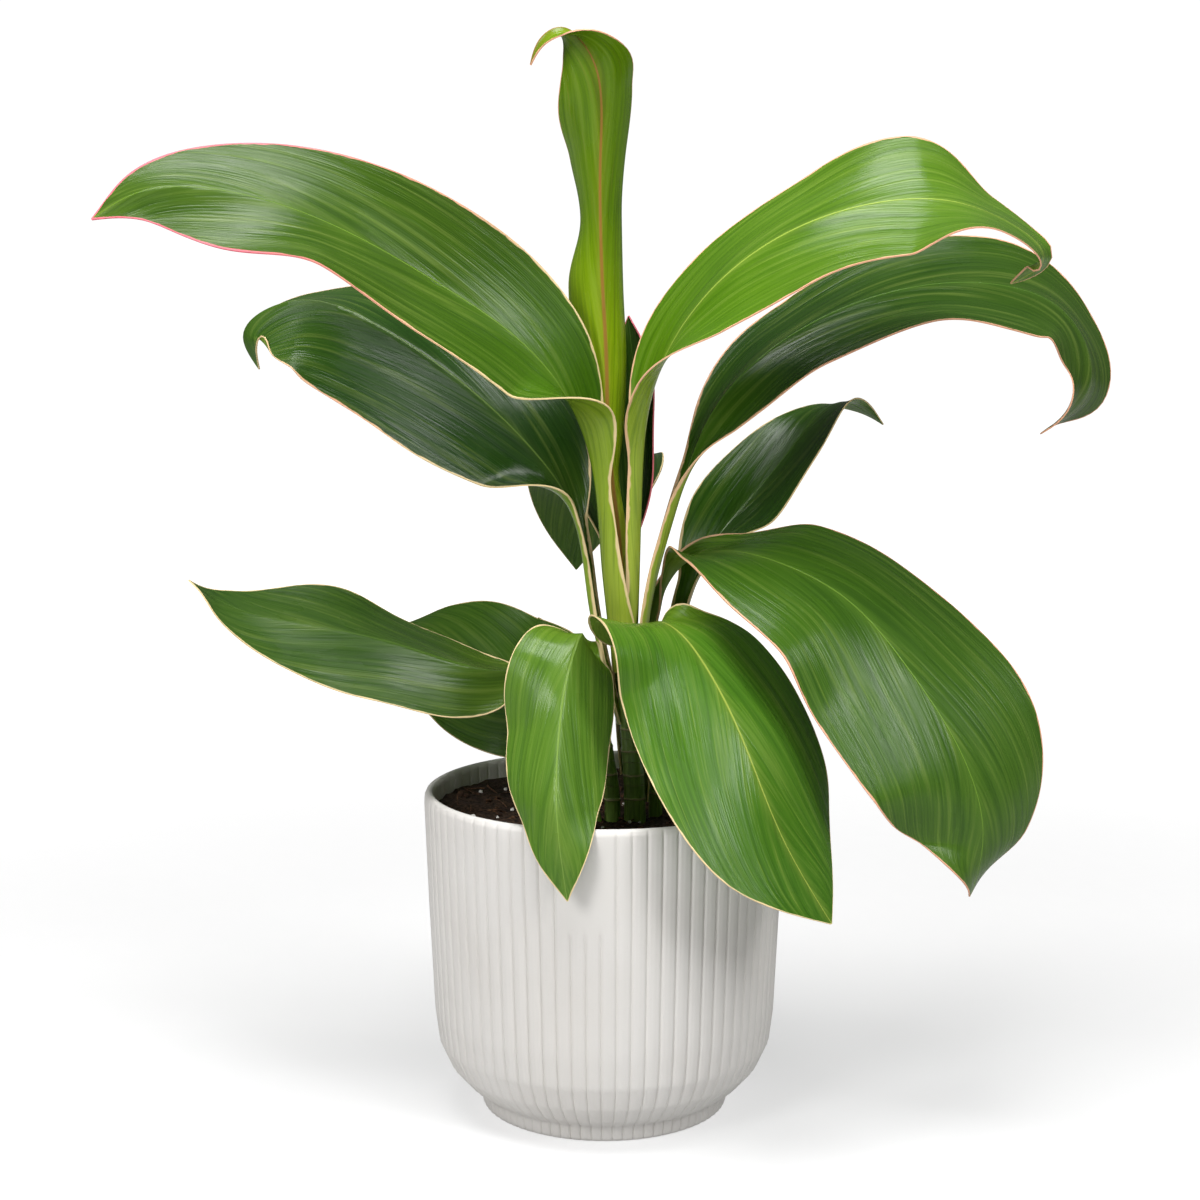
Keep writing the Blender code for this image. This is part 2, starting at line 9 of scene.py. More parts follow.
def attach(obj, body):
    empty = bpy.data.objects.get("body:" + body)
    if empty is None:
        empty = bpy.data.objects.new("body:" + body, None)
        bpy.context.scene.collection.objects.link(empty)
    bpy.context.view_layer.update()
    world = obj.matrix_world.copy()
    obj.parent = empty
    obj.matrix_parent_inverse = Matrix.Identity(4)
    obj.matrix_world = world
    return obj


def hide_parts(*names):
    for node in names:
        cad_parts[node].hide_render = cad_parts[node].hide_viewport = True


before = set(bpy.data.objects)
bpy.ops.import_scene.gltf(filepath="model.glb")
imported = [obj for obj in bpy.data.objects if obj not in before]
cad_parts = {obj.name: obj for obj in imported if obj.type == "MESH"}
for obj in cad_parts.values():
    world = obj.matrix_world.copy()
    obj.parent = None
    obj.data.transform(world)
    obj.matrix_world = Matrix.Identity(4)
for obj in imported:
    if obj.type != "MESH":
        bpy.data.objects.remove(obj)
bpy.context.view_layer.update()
mm = 0.001  # everything below is in millimetres and degrees
print("frame loaded")


# node helpers: a value is either a number, a colour or another node's socket
def putIn(tree, socket, value):
    if isinstance(value, bpy.types.NodeSocket):
        tree.links.new(value, socket)
    elif isinstance(value, (tuple, list)) and socket.type == "RGBA":
        socket.default_value = (*value[:3], 1)
    else:
        socket.default_value = value


def addMath(tree, operation, first, second=0.0, clamp=False):
    node = tree.nodes.new("ShaderNodeMath")
    node.operation = operation
    node.use_clamp = clamp
    putIn(tree, node.inputs[0], first)
    putIn(tree, node.inputs[1], second)
    return node.outputs[0]


def addVectorMath(tree, operation, first, second=(0, 0, 0)):
    node = tree.nodes.new("ShaderNodeVectorMath")
    node.operation = operation
    putIn(tree, node.inputs[0], first)
    putIn(tree, node.inputs[1], second)
    return node.outputs[0]


def addStep(tree, value, start, end, low=0.0, high=1.0):
    node = tree.nodes.new("ShaderNodeMapRange")
    node.interpolation_type = "SMOOTHSTEP"
    for name, given in (("Value", value), ("From Min", start), ("From Max", end), ("To Min", low),
                        ("To Max", high)):
        putIn(tree, node.inputs[name], given)
    return node.outputs["Result"]


def addMix(tree, share, first, second, blend="MIX"):
    node = tree.nodes.new("ShaderNodeMix")
    node.data_type = "RGBA"
    node.blend_type = blend
    putIn(tree, node.inputs["Factor"], share)
    colours = [socket for socket in node.inputs if socket.type == "RGBA"]
    putIn(tree, colours[0], first)
    putIn(tree, colours[1], second)
    return [socket for socket in node.outputs if socket.type == "RGBA"][0]


def addNoise(tree, vector, scale, detail=2.0, roughness=0.5, distortion=0.0):
    node = tree.nodes.new("ShaderNodeTexNoise")
    for name, given in (("Vector", vector), ("Scale", scale), ("Detail", detail), ("Roughness", roughness),
                        ("Distortion", distortion)):
        putIn(tree, node.inputs[name], given)
    return node.outputs["Fac"]


def addSpots(tree, vector, scale, spread=1.0):
    node = tree.nodes.new("ShaderNodeTexVoronoi")
    for name, given in (("Vector", vector), ("Scale", scale), ("Randomness", spread)):
        putIn(tree, node.inputs[name], given)
    return node.outputs["Distance"]


def addRamp(tree, share, stops):
    node = tree.nodes.new("ShaderNodeValToRGB")
    putIn(tree, node.inputs["Fac"], share)
    elements = node.color_ramp.elements
    while len(elements) > 1:
        elements.remove(elements[-1])
    elements[0].position = stops[0][0]
    elements[0].color = (*stops[0][1], 1)
    for place, colour in stops[1:]:
        elements.new(place).color = (*colour, 1)
    return node.outputs["Color"]


def addSplit(tree, vector):
    node = tree.nodes.new("ShaderNodeSeparateXYZ")
    putIn(tree, node.inputs[0], vector)
    return node.outputs[0], node.outputs[1], node.outputs[2]


def addJoin(tree, x, y, z):
    node = tree.nodes.new("ShaderNodeCombineXYZ")
    for socket, value in zip(node.inputs, (x, y, z)):
        putIn(tree, socket, value)
    return node.outputs[0]


def addAttribute(tree, name):
    node = tree.nodes.new("ShaderNodeAttribute")
    node.attribute_name = name
    return node.outputs["Vector"]


def addPlace(tree):
    return tree.nodes.new("ShaderNodeTexCoord").outputs["Object"]


def startGroup(name, inputs, outputs):
    group = bpy.data.node_groups.new(name, "ShaderNodeTree")
    kinds = {"colour": "NodeSocketColor", "value": "NodeSocketFloat", "vector": "NodeSocketVector"}
    for socketName, kind in inputs:
        group.interface.new_socket(name=socketName, in_out="INPUT", socket_type=kinds[kind])
    for socketName, kind in outputs:
        group.interface.new_socket(name=socketName, in_out="OUTPUT", socket_type=kinds[kind])
    return group, group.nodes.new("NodeGroupInput").outputs, group.nodes.new("NodeGroupOutput").inputs


def addGroup(tree, group, values):
    node = tree.nodes.new("ShaderNodeGroup")
    node.node_tree = group
    for name, value in values.items():
        putIn(tree, node.inputs[name], value)
    return node.outputs


def startMaterial(name, roughness=0.5, shine=0.5):
    material = bpy.data.materials.new(name)
    material.use_nodes = True
    shader = material.node_tree.nodes["Principled BSDF"]
    shader.inputs["Roughness"].default_value = roughness
    shader.inputs["Specular IOR Level"].default_value = shine
    return material, material.node_tree, shader


def addBump(tree, shader, height, distance, strength=1.0):
    bump = tree.nodes.new("ShaderNodeBump")
    bump.inputs["Distance"].default_value = distance
    bump.inputs["Strength"].default_value = strength
    tree.links.new(height, bump.inputs["Height"])
    tree.links.new(bump.outputs["Normal"], shader.inputs["Normal"])


# modelling helpers
def deselectAll():
    for thing in bpy.context.selected_objects:
        thing.select_set(False)


def applyModifiers(piece):
    bpy.context.view_layer.objects.active = piece
    for modifier in list(piece.modifiers):
        bpy.ops.object.modifier_apply(modifier=modifier.name)


def getPoints(piece):
    points = np.zeros(len(piece.data.vertices) * 3)
    piece.data.vertices.foreach_get("co", points)
    return points.reshape(-1, 3)


def setPoints(piece, points):
    piece.data.vertices.foreach_set("co", np.asarray(points, float).ravel())
    piece.data.update()


def keepVector(piece, name, values):
    attribute = piece.data.attributes.new(name, "FLOAT_VECTOR", "POINT")
    attribute.data.foreach_set("vector", np.asarray(values, float).ravel())


# A wall drawn up from a circle: each ring is height, radius. Ends are filled.
def makeWall(name, sides, rings):
    deselectAll()
    foot, radius = rings[0]
    bpy.ops.mesh.primitive_circle_add(vertices=sides, radius=radius * mm, location=(0, 0, foot * mm))
    piece = bpy.context.active_object
    piece.name = name
    bpy.ops.object.transform_apply(location=True)
    bpy.ops.object.mode_set(mode="EDIT")
    bpy.ops.mesh.select_all(action="SELECT")
    bpy.ops.mesh.edge_face_add()
    bpy.ops.mesh.select_all(action="SELECT")
    for before, after in zip(rings, rings[1:]):
        rise = (0, 0, (after[0] - before[0]) * mm)
        bpy.ops.mesh.extrude_region_move(TRANSFORM_OT_translate={"value": rise})
        grow = after[1] / before[1]
        bpy.ops.transform.resize(value=(grow, grow, 1), center_override=(0, 0, after[0] * mm))
    bpy.ops.mesh.select_all(action="SELECT")
    bpy.ops.mesh.fill_holes(sides=0)
    bpy.ops.mesh.select_all(action="SELECT")
    bpy.ops.mesh.normals_make_consistent(inside=False)
    bpy.ops.object.mode_set(mode="OBJECT")
    return piece


def finishPiece(piece, material, nodes, smoothAngle=50):
    if material:
        piece.data.materials.clear()
        piece.data.materials.append(material)
    deselectAll()
    piece.select_set(True)
    bpy.context.view_layer.objects.active = piece
    bpy.ops.object.shade_smooth_by_angle(angle=math.radians(smoothAngle))
    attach(piece, "root")
    if nodes:
        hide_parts(*nodes)


# camera, floor and light
cameraValues = {"place": (-2.2, -1014.6, 393.4), "tilt": 82.26, "lens": 62.0}
lightValues = {
    "world": 0.12, "backdrop": 1.05, "floorGlow": (0.55, 1.06), "glowReach": (0.35, 1.7), "glowOnThings": 0.3,
    "floorPale": 0.42,
    "aim": (0, 0, 280),
    "boxes": {
        "overheadBox": {"energy": 32, "size": (1.0, 0.8), "place": (-100, -350, 1900)},
        "leftBox": {"energy": 19, "size": (0.6, 0.9), "place": (-1050, -1350, 1150)},
        "rightBox": {"energy": 15, "size": (0.5, 0.8), "place": (1150, -1150, 1350)}},
}


def makeCamera():
    data = bpy.data.cameras.new("photoView")
    data.lens = cameraValues["lens"]
    data.sensor_width = 36
    camera = bpy.data.objects.new("photoView", data)
    bpy.context.scene.collection.objects.link(camera)
    camera.location = [value * mm for value in cameraValues["place"]]
    camera.rotation_euler = (math.radians(cameraValues["tilt"]), 0, 0)
    bpy.context.scene.camera = camera


def makeBox(name, energy, size, place):
    data = bpy.data.lights.new(name, "AREA")
    data.shape = "RECTANGLE"
    data.size, data.size_y = size
    data.energy = energy
    lamp = bpy.data.objects.new(name, data)
    bpy.context.scene.collection.objects.link(lamp)
    lamp.location = [value * mm for value in place]
    toward = Vector([value * mm for value in lightValues["aim"]]) - lamp.location
    lamp.rotation_euler = toward.to_track_quat("-Z", "Y").to_euler()


def makeStudio():
    world = bpy.data.worlds.new("paleRoom")
    bpy.context.scene.world = world
    world.use_nodes = True
    tree = world.node_tree
    background = tree.nodes["Background"]
    background.inputs["Color"].default_value = (1, 1, 1, 1)
    seen = tree.nodes.new("ShaderNodeLightPath").outputs["Is Camera Ray"]
    strength = addMath(tree, "ADD", lightValues["world"],
                       addMath(tree, "MULTIPLY", seen, lightValues["backdrop"] - lightValues["world"]))
    tree.links.new(strength, background.inputs["Strength"])
    for name, box in lightValues["boxes"].items():
        makeBox(name, box["energy"], box["size"], box["place"])
    deselectAll()
    bpy.ops.mesh.primitive_plane_add(size=16, location=(0, 0, 0))
    floor = bpy.context.active_object
    floor.name = "floor"
    material, tree, shader = startMaterial("paleFloor", 0.6, 0.2)
    grain = addNoise(tree, addPlace(tree), 60, 3)
    pale = lightValues["floorPale"]
    colour = addMix(tree, addStep(tree, grain, 0.3, 0.7), (pale,) * 3, (pale * 1.02,) * 3)
    tree.links.new(colour, shader.inputs["Base Color"])
    away = tree.nodes.new("ShaderNodeVectorMath")
    away.operation = "LENGTH"
    putIn(tree, away.inputs[0], addPlace(tree))
    near, far = lightValues["floorGlow"]
    fade = addStep(tree, away.outputs["Value"], *lightValues["glowReach"])
    glow = addMix(tree, fade, (near,) * 3, (far,) * 3)
    seen = tree.nodes.new("ShaderNodeLightPath").outputs["Is Camera Ray"]
    dim = lightValues["glowOnThings"]
    strength = addMath(tree, "ADD", dim, addMath(tree, "MULTIPLY", seen, 1 - dim))
    tree.links.new(glow, shader.inputs["Emission Color"])
    tree.links.new(strength, shader.inputs["Emission Strength"])
    floor.data.materials.append(material)
    view = bpy.context.scene.view_settings
    view.view_transform = "Standard"
    view.look = "None"


makeCamera()
makeStudio()
print("camera and studio ready")


# pot
potValues = {
    "ribs": 76, "pointsPerRib": 12, "grooveAzimuth": -91.2, "grooveWidth": 0.34, "crown": 0.22,
    "outside": [
        (0, 60.6, 0.2), (0.5, 61.6, 0.5), (2, 62.0, 0.7), (8, 63.0, 0.8), (13, 70.0, 0.9), (22, 78.0, 0.9),
        (34, 83.5, 0.9), (50, 85.5, 0.9), (106, 88.1, 0.9), (112, 88.3, 0.9), (155, 89.9, 0.9),
        (158.4, 89.8, 0.6), (160.2, 89.0, 0.3), (161, 87.6, 0.05), (160.6, 86.2, 0.1), (159.2, 85.3, -0.3),
        (150, 84.8, -0.5), (142, 84.5, -0.5), (137, 84.3, 0), (56, 82, 0), (30, 78, 0), (12, 64, 0),
        (5, 56, 0)],
    "steps": [1, 1, 4, 5, 8, 8, 8, 14, 3, 14, 3, 3, 3, 3, 3, 4, 2, 1, 1, 1, 1, 1],
    "patch": (-104.0, -88.0), "patchBottom": 108,
}


def makePotPlastic():
    material, tree, shader = startMaterial("offWhitePlastic", 0.42, 0.5)
    place = addPlace(tree)
    cloud = addNoise(tree, place, 14, 3)
    colour = addMix(tree, addStep(tree, cloud, 0.3, 0.7), (0.70, 0.675, 0.64), (0.74, 0.72, 0.69))
    speck = addNoise(tree, place, 900, 2, 0.6)
    colour = addMix(tree, addStep(tree, speck, 0.62, 0.8, 0, 0.25), colour, (0.60, 0.57, 0.53))
    tree.links.new(colour, shader.inputs["Base Color"])
    grain = addNoise(tree, place, 1600, 3, 0.6)
    tree.links.new(addStep(tree, grain, 0.2, 0.8, 0.36, 0.5), shader.inputs["Roughness"])
    addBump(tree, shader, grain, 0.00005, 0.6)
    return material


def makePot():
    rings = []
    for (a, b), steps in zip(zip(potValues["outside"], potValues["outside"][1:]), potValues["steps"]):
        for step in range(steps):
            share = step / steps
            rings.append(tuple(p + (q - p) * share for p, q in zip(a, b)))
    rings.append(potValues["outside"][-1])
    sides = potValues["ribs"] * potValues["pointsPerRib"]
    pot = makeWall("pot_ribbed", sides, [ring[:2] for ring in rings])
    points = getPoints(pot) / mm
    radius = np.hypot(points[:, 0], points[:, 1])
    azimuth = np.degrees(np.arctan2(points[:, 1], points[:, 0]))
    table = np.array(rings)
    apart = np.hypot(points[:, 2][:, None] - table[:, 0], radius[:, None] - table[:, 1])
    nearest = np.argmin(apart, axis=1)
    depth = table[nearest, 2]
    phase = ((azimuth - potValues["grooveAzimuth"]) / (360 / potValues["ribs"])) % 1
    fromGroove = np.minimum(phase, 1 - phase)
    groove = np.clip(1 - fromGroove / (potValues["grooveWidth"] / 2), 0, 1) ** 1.5
    crown = potValues["crown"] * (fromGroove / 0.5) ** 2
    low, high = potValues["patch"]
    inPatch = (azimuth > low) & (azimuth < high) & (depth > 0)
    bare = np.where(inPatch, np.clip((points[:, 2] - potValues["patchBottom"]) / 4, 0, 1), 0)
    bare = bare * bare * (3 - 2 * bare)
    cut = depth * groove - np.sign(depth) * crown * np.clip(abs(depth) / 0.9, 0, 1)
    cut = cut * (1 - bare) + bare * (-0.1)
    away = np.stack([np.cos(np.radians(azimuth)), np.sin(np.radians(azimuth)), 0 * azimuth], axis=1)
    inner = nearest >= len(rings) - 5
    points -= away * np.where(inner, 0, cut)[:, None]
    setPoints(pot, points * mm)
    finishPiece(pot, makePotPlastic(), ["pot"], 60)
    return pot


makePot()
print("pot made")


# compost with bark, fibres and perlite
soilValues = {
    "wallHeight": 151.5, "middleHeight": 147.0, "reach": 84.5, "unevenness": 1.3, "seed": 7,
    "barkBits": 150, "barkSize": ((1.6, 6.5), (1.0, 3.2), (0.6, 1.6)),
    "fibres": 170, "fibreLength": (5, 16), "fibreWidth": (0.35, 0.8), "perlite": 46, "perliteSize": (0.5, 1.5),
}


def soilHeight(x, y):
    share = min(math.hypot(x, y) / soilValues["reach"], 1)
    height = soilValues["middleHeight"] + (soilValues["wallHeight"] - soilValues["middleHeight"]) * share ** 2
    rough = noise.fractal(Vector((x, y, 0)) * 0.09, 0.7, 2.1, 5)
    return height + soilValues["unevenness"] * rough


def makeCompost(name, dark, light):
    material, tree, shader = startMaterial(name, 0.9, 0.3)
    place = addPlace(tree)
    crumbs = addNoise(tree, place, 420, 5, 0.65, 0.6)
    clumps = addNoise(tree, place, 90, 3)
    colour = addMix(tree, addStep(tree, crumbs, 0.35, 0.68), dark, light)
    colour = addMix(tree, addStep(tree, clumps, 0.4, 0.7, 0, 0.6), colour, dark)
    tree.links.new(colour, shader.inputs["Base Color"])
    tree.links.new(addStep(tree, crumbs, 0.3, 0.7, 0.95, 0.6), shader.inputs["Roughness"])
    addBump(tree, shader, crumbs, 0.0012)
    return material


def makePerlite():
    material, tree, shader = startMaterial("perlite", 0.8, 0.4)
    pores = addSpots(tree, addPlace(tree), 1500)
    colour = addMix(tree, addStep(tree, pores, 0.05, 0.5), (0.55, 0.50, 0.44), (0.86, 0.84, 0.80))
    tree.links.new(colour, shader.inputs["Base Color"])
    addBump(tree, shader, pores, 0.0004)
    return material


def scatterCopies(name, count, shape, sizes, lift, draw, reach=80):
    copies = []
    for _ in range(count):
        distance = reach * math.sqrt(draw.random())
        turn = draw.uniform(0, 2 * math.pi)
        x, y = distance * math.cos(turn), distance * math.sin(turn)
        copy = shape.copy()
        copy.data = shape.data.copy()
        bpy.context.scene.collection.objects.link(copy)
        copy.scale = [value * mm for value in sizes(draw)]
        copy.rotation_euler = (draw.uniform(-0.5, 0.5), draw.uniform(-0.5, 0.5), draw.uniform(0, 6.28))
        copy.location = (x * mm, y * mm, (soilHeight(x, y) + lift) * mm)
        copies.append(copy)
    deselectAll()
    for copy in copies:
        copy.select_set(True)
    bpy.context.view_layer.objects.active = copies[0]
    bpy.ops.object.transform_apply(location=True, rotation=True, scale=True)
    bpy.ops.object.join()
    joined = bpy.context.active_object
    joined.name = name
    joined.data.name = name
    bpy.data.objects.remove(shape)
    return joined


def makeSoil():
    values = soilValues
    rings = [(5.3, 55.3), (12, 63.2), (30, 77.2), (56, 81.2), (137, 83.5), (150.5, 84.2)]
    rings += [(151.5, values["reach"] * (1 - step / 64)) for step in range(64)]
    soil = makeWall("soil_surface", 180, rings)
    points = getPoints(soil) / mm
    top = points[:, 2] > 151
    points[top, 2] = [soilHeight(x, y) for x, y, _ in points[top]]
    setPoints(soil, points * mm)
    compost = makeCompost("compost", (0.012, 0.006, 0.003), (0.085, 0.042, 0.020))
    finishPiece(soil, compost, ["soil"], 80)
    draw = random.Random(values["seed"])
    deselectAll()
    bpy.ops.mesh.primitive_cube_add(size=1)
    chip = bpy.context.active_object
    bpy.ops.object.mode_set(mode="EDIT")
    bpy.ops.mesh.select_all(action="SELECT")
    bpy.ops.mesh.bevel(offset=0.18, segments=1, affect="EDGES")
    bpy.ops.object.mode_set(mode="OBJECT")
    uneven = getPoints(chip)
    shifts = [Vector((axis * 7, 0, 0)) for axis in range(3)]
    uneven *= 1 + 0.25 * np.array([[noise.noise(Vector(point) * 2.3 + shift) for shift in shifts]
                                  for point in uneven])
    setPoints(chip, uneven)
    bark = scatterCopies("bark_bits", values["barkBits"], chip,
                         lambda d: [d.uniform(*limits) for limits in values["barkSize"]], 0.3, draw)
    finishPiece(bark, makeCompost("barkBits", (0.020, 0.009, 0.004), (0.16, 0.075, 0.035)), [], 30)
    deselectAll()
    bpy.ops.mesh.primitive_cylinder_add(vertices=4, radius=0.5, depth=1, rotation=(0, math.pi / 2, 0))
    fibre = bpy.context.active_object
    bpy.ops.object.transform_apply(rotation=True)
    bpy.ops.object.mode_set(mode="EDIT")
    for place in (-0.25, 0, 0.25):
        bpy.ops.mesh.select_all(action="SELECT")
        bpy.ops.mesh.bisect(plane_co=(place, 0, 0), plane_no=(1, 0, 0))
    bpy.ops.object.mode_set(mode="OBJECT")
    bent = getPoints(fibre)
    bent[:, 1] += 2.5 * (bent[:, 0] ** 2 - 0.1)
    bent[:, 2] += 1.5 * (0.12 - bent[:, 0] ** 2)
    setPoints(fibre, bent)
    fibreSizes = (values["fibreLength"], values["fibreWidth"], values["fibreWidth"])
    fibres = scatterCopies("root_fibres", values["fibres"], fibre,
                           lambda d: [d.uniform(*limits) for limits in fibreSizes], 0.3, draw)
    fibreSkin = makeCompost("rootFibre", (0.05, 0.022, 0.010), (0.22, 0.11, 0.055))
    finishPiece(fibres, fibreSkin, [], 60)
    deselectAll()
    bpy.ops.mesh.primitive_ico_sphere_add(subdivisions=2, radius=1)
    grain = bpy.context.active_object
    knobbly = getPoints(grain)
    knobbly *= (1 + 0.35 * np.array([noise.noise(Vector(point) * 1.7) for point in knobbly]))[:, None]
    setPoints(grain, knobbly)
    perlite = scatterCopies("perlite_grains", values["perlite"], grain,
                            lambda d: [d.uniform(*values["perliteSize"])] * 3, 0.3, draw)
    finishPiece(perlite, makePerlite(), [], 60)


makeSoil()
print("soil made")


# canes
caneValues = {
    "cane_main": {
        "path": [(15, -15, 105), (15, -15, 155), (13, -14.8, 190), (11, -14, 225), (9, -13, 253.2)],
        "radii": (5.6, 4.7), "nodes": (159, 171, 183, 194), "swelling": 0.45},
    "cane_left": {
        "path": [(4, -13, 105), (4, -13, 155), (1, -14, 180), (-4, -16, 205), (-8, -17.5, 222)],
        "radii": (4.2, 3.6), "nodes": (158, 171, 185), "swelling": 0.4},
    "cane_right": {
        "path": [(25.5, -7, 105), (25.5, -7, 155), (26.5, -7, 180), (28, -6.5, 213)],
        "radii": (3.6, 3.2), "nodes": (160, 174, 187), "swelling": 0.35},
    "shoot_low": {
        "path": [(-2.8, -17, 125), (-2.8, -17, 147), (-3.2, -17.6, 152), (-4, -18.6, 159)],
        "radii": (2.4, 0.7), "nodes": (), "swelling": 0.0},
}
caneSides = 28


def steadySpline(knots, values, at):
    knots, values = np.asarray(knots, float), np.asarray(values, float)
    rise = np.diff(values) / np.diff(knots)
    slope = np.zeros(len(values))
    for i in range(1, len(values) - 1):
        if rise[i - 1] * rise[i] > 0:
            slope[i] = 2 * rise[i - 1] * rise[i] / (rise[i - 1] + rise[i])
    k = np.clip(np.searchsorted(knots, at, side="right") - 1, 0, len(values) - 2)
    width = knots[k + 1] - knots[k]
    t = (at - knots[k]) / width
    start = (2 * t**3 - 3 * t**2 + 1) * values[k] + (t**3 - 2 * t**2 + t) * width * slope[k]
    return start + (3 * t**2 - 2 * t**3) * values[k + 1] + (t**3 - t**2) * width * slope[k + 1]


def caneAt(name, heights):
    cane = caneValues[name]
    x, y, z = np.array(cane["path"], float).T
    inside = np.clip(heights, z[0], z[-1])
    radius = np.interp(inside, (z[0], z[-1]), cane["radii"])
    return steadySpline(z, x, inside), steadySpline(z, y, inside), radius


def makeCaneSkin():
    material, tree, shader = startMaterial("caneSkin", 0.42, 0.5)
    place = addPlace(tree)
    ring = addAttribute(tree, "caneRing")
    toNode, aroundCane, heightShare = addSplit(tree, ring)
    streaks = addNoise(tree, addVectorMath(tree, "MULTIPLY", place, (900, 900, 60)), 1, 3)
    colour = addMix(tree, addStep(tree, streaks, 0.3, 0.7), (0.13, 0.24, 0.03), (0.24, 0.38, 0.07))
    wobble = addMath(tree, "MULTIPLY", addMath(tree, "SUBTRACT", addNoise(tree, place, 300, 2), 0.5), 1.2)
    band = addStep(tree, addMath(tree, "ABSOLUTE", addMath(tree, "ADD", toNode, wobble)), 0.2, 0.9, 1, 0)
    colour = addMix(tree, addMath(tree, "MULTIPLY", band, 0.75), colour, (0.50, 0.42, 0.24))
    tree.links.new(colour, shader.inputs["Base Color"])
    tree.links.new(addStep(tree, streaks, 0.3, 0.7, 0.34, 0.5), shader.inputs["Roughness"])
    addBump(tree, shader, addMath(tree, "ADD", streaks, addMath(tree, "MULTIPLY", band, 1.5)), 0.0003)
    return material


def makeCane(name, material):
    cane = caneValues[name]
    foot, top = cane["path"][0][2], cane["path"][-1][2]
    heights = np.linspace(foot, top, 90)
    rings = [(height, 5.0) for height in heights]
    piece = makeWall(name + "_stem", caneSides, rings)
    points = getPoints(piece) / mm
    x, y, radius = caneAt(name, points[:, 2])
    toNode = np.full(len(points), 20.0)
    for node in cane["nodes"]:
        away = points[:, 2] - node
        radius = radius + cane["swelling"] * np.exp(-(away / 0.9) ** 2)
        radius = radius - 0.12 * np.exp(-((away - 2) / 1.2) ** 2)
        toNode = np.where(abs(away) < abs(toNode), away, toNode)
    turn = np.arctan2(points[:, 1], points[:, 0])
    share = (points[:, 2] - foot) / (top - foot)
    if not cane["nodes"]:
        radius = radius * (1 + 0.15 * np.cos(turn * 2 + 0.6))
    points[:, 0] = x + radius * np.cos(turn)
    points[:, 1] = y + radius * np.sin(turn)
    setPoints(piece, points * mm)
    keepVector(piece, "caneRing", np.stack([toNode, turn, share], axis=1))
    finishPiece(piece, material, [name], 60)


caneSkin = makeCaneSkin()
for caneName in caneValues:
    makeCane(caneName, caneSkin)
print("canes made")


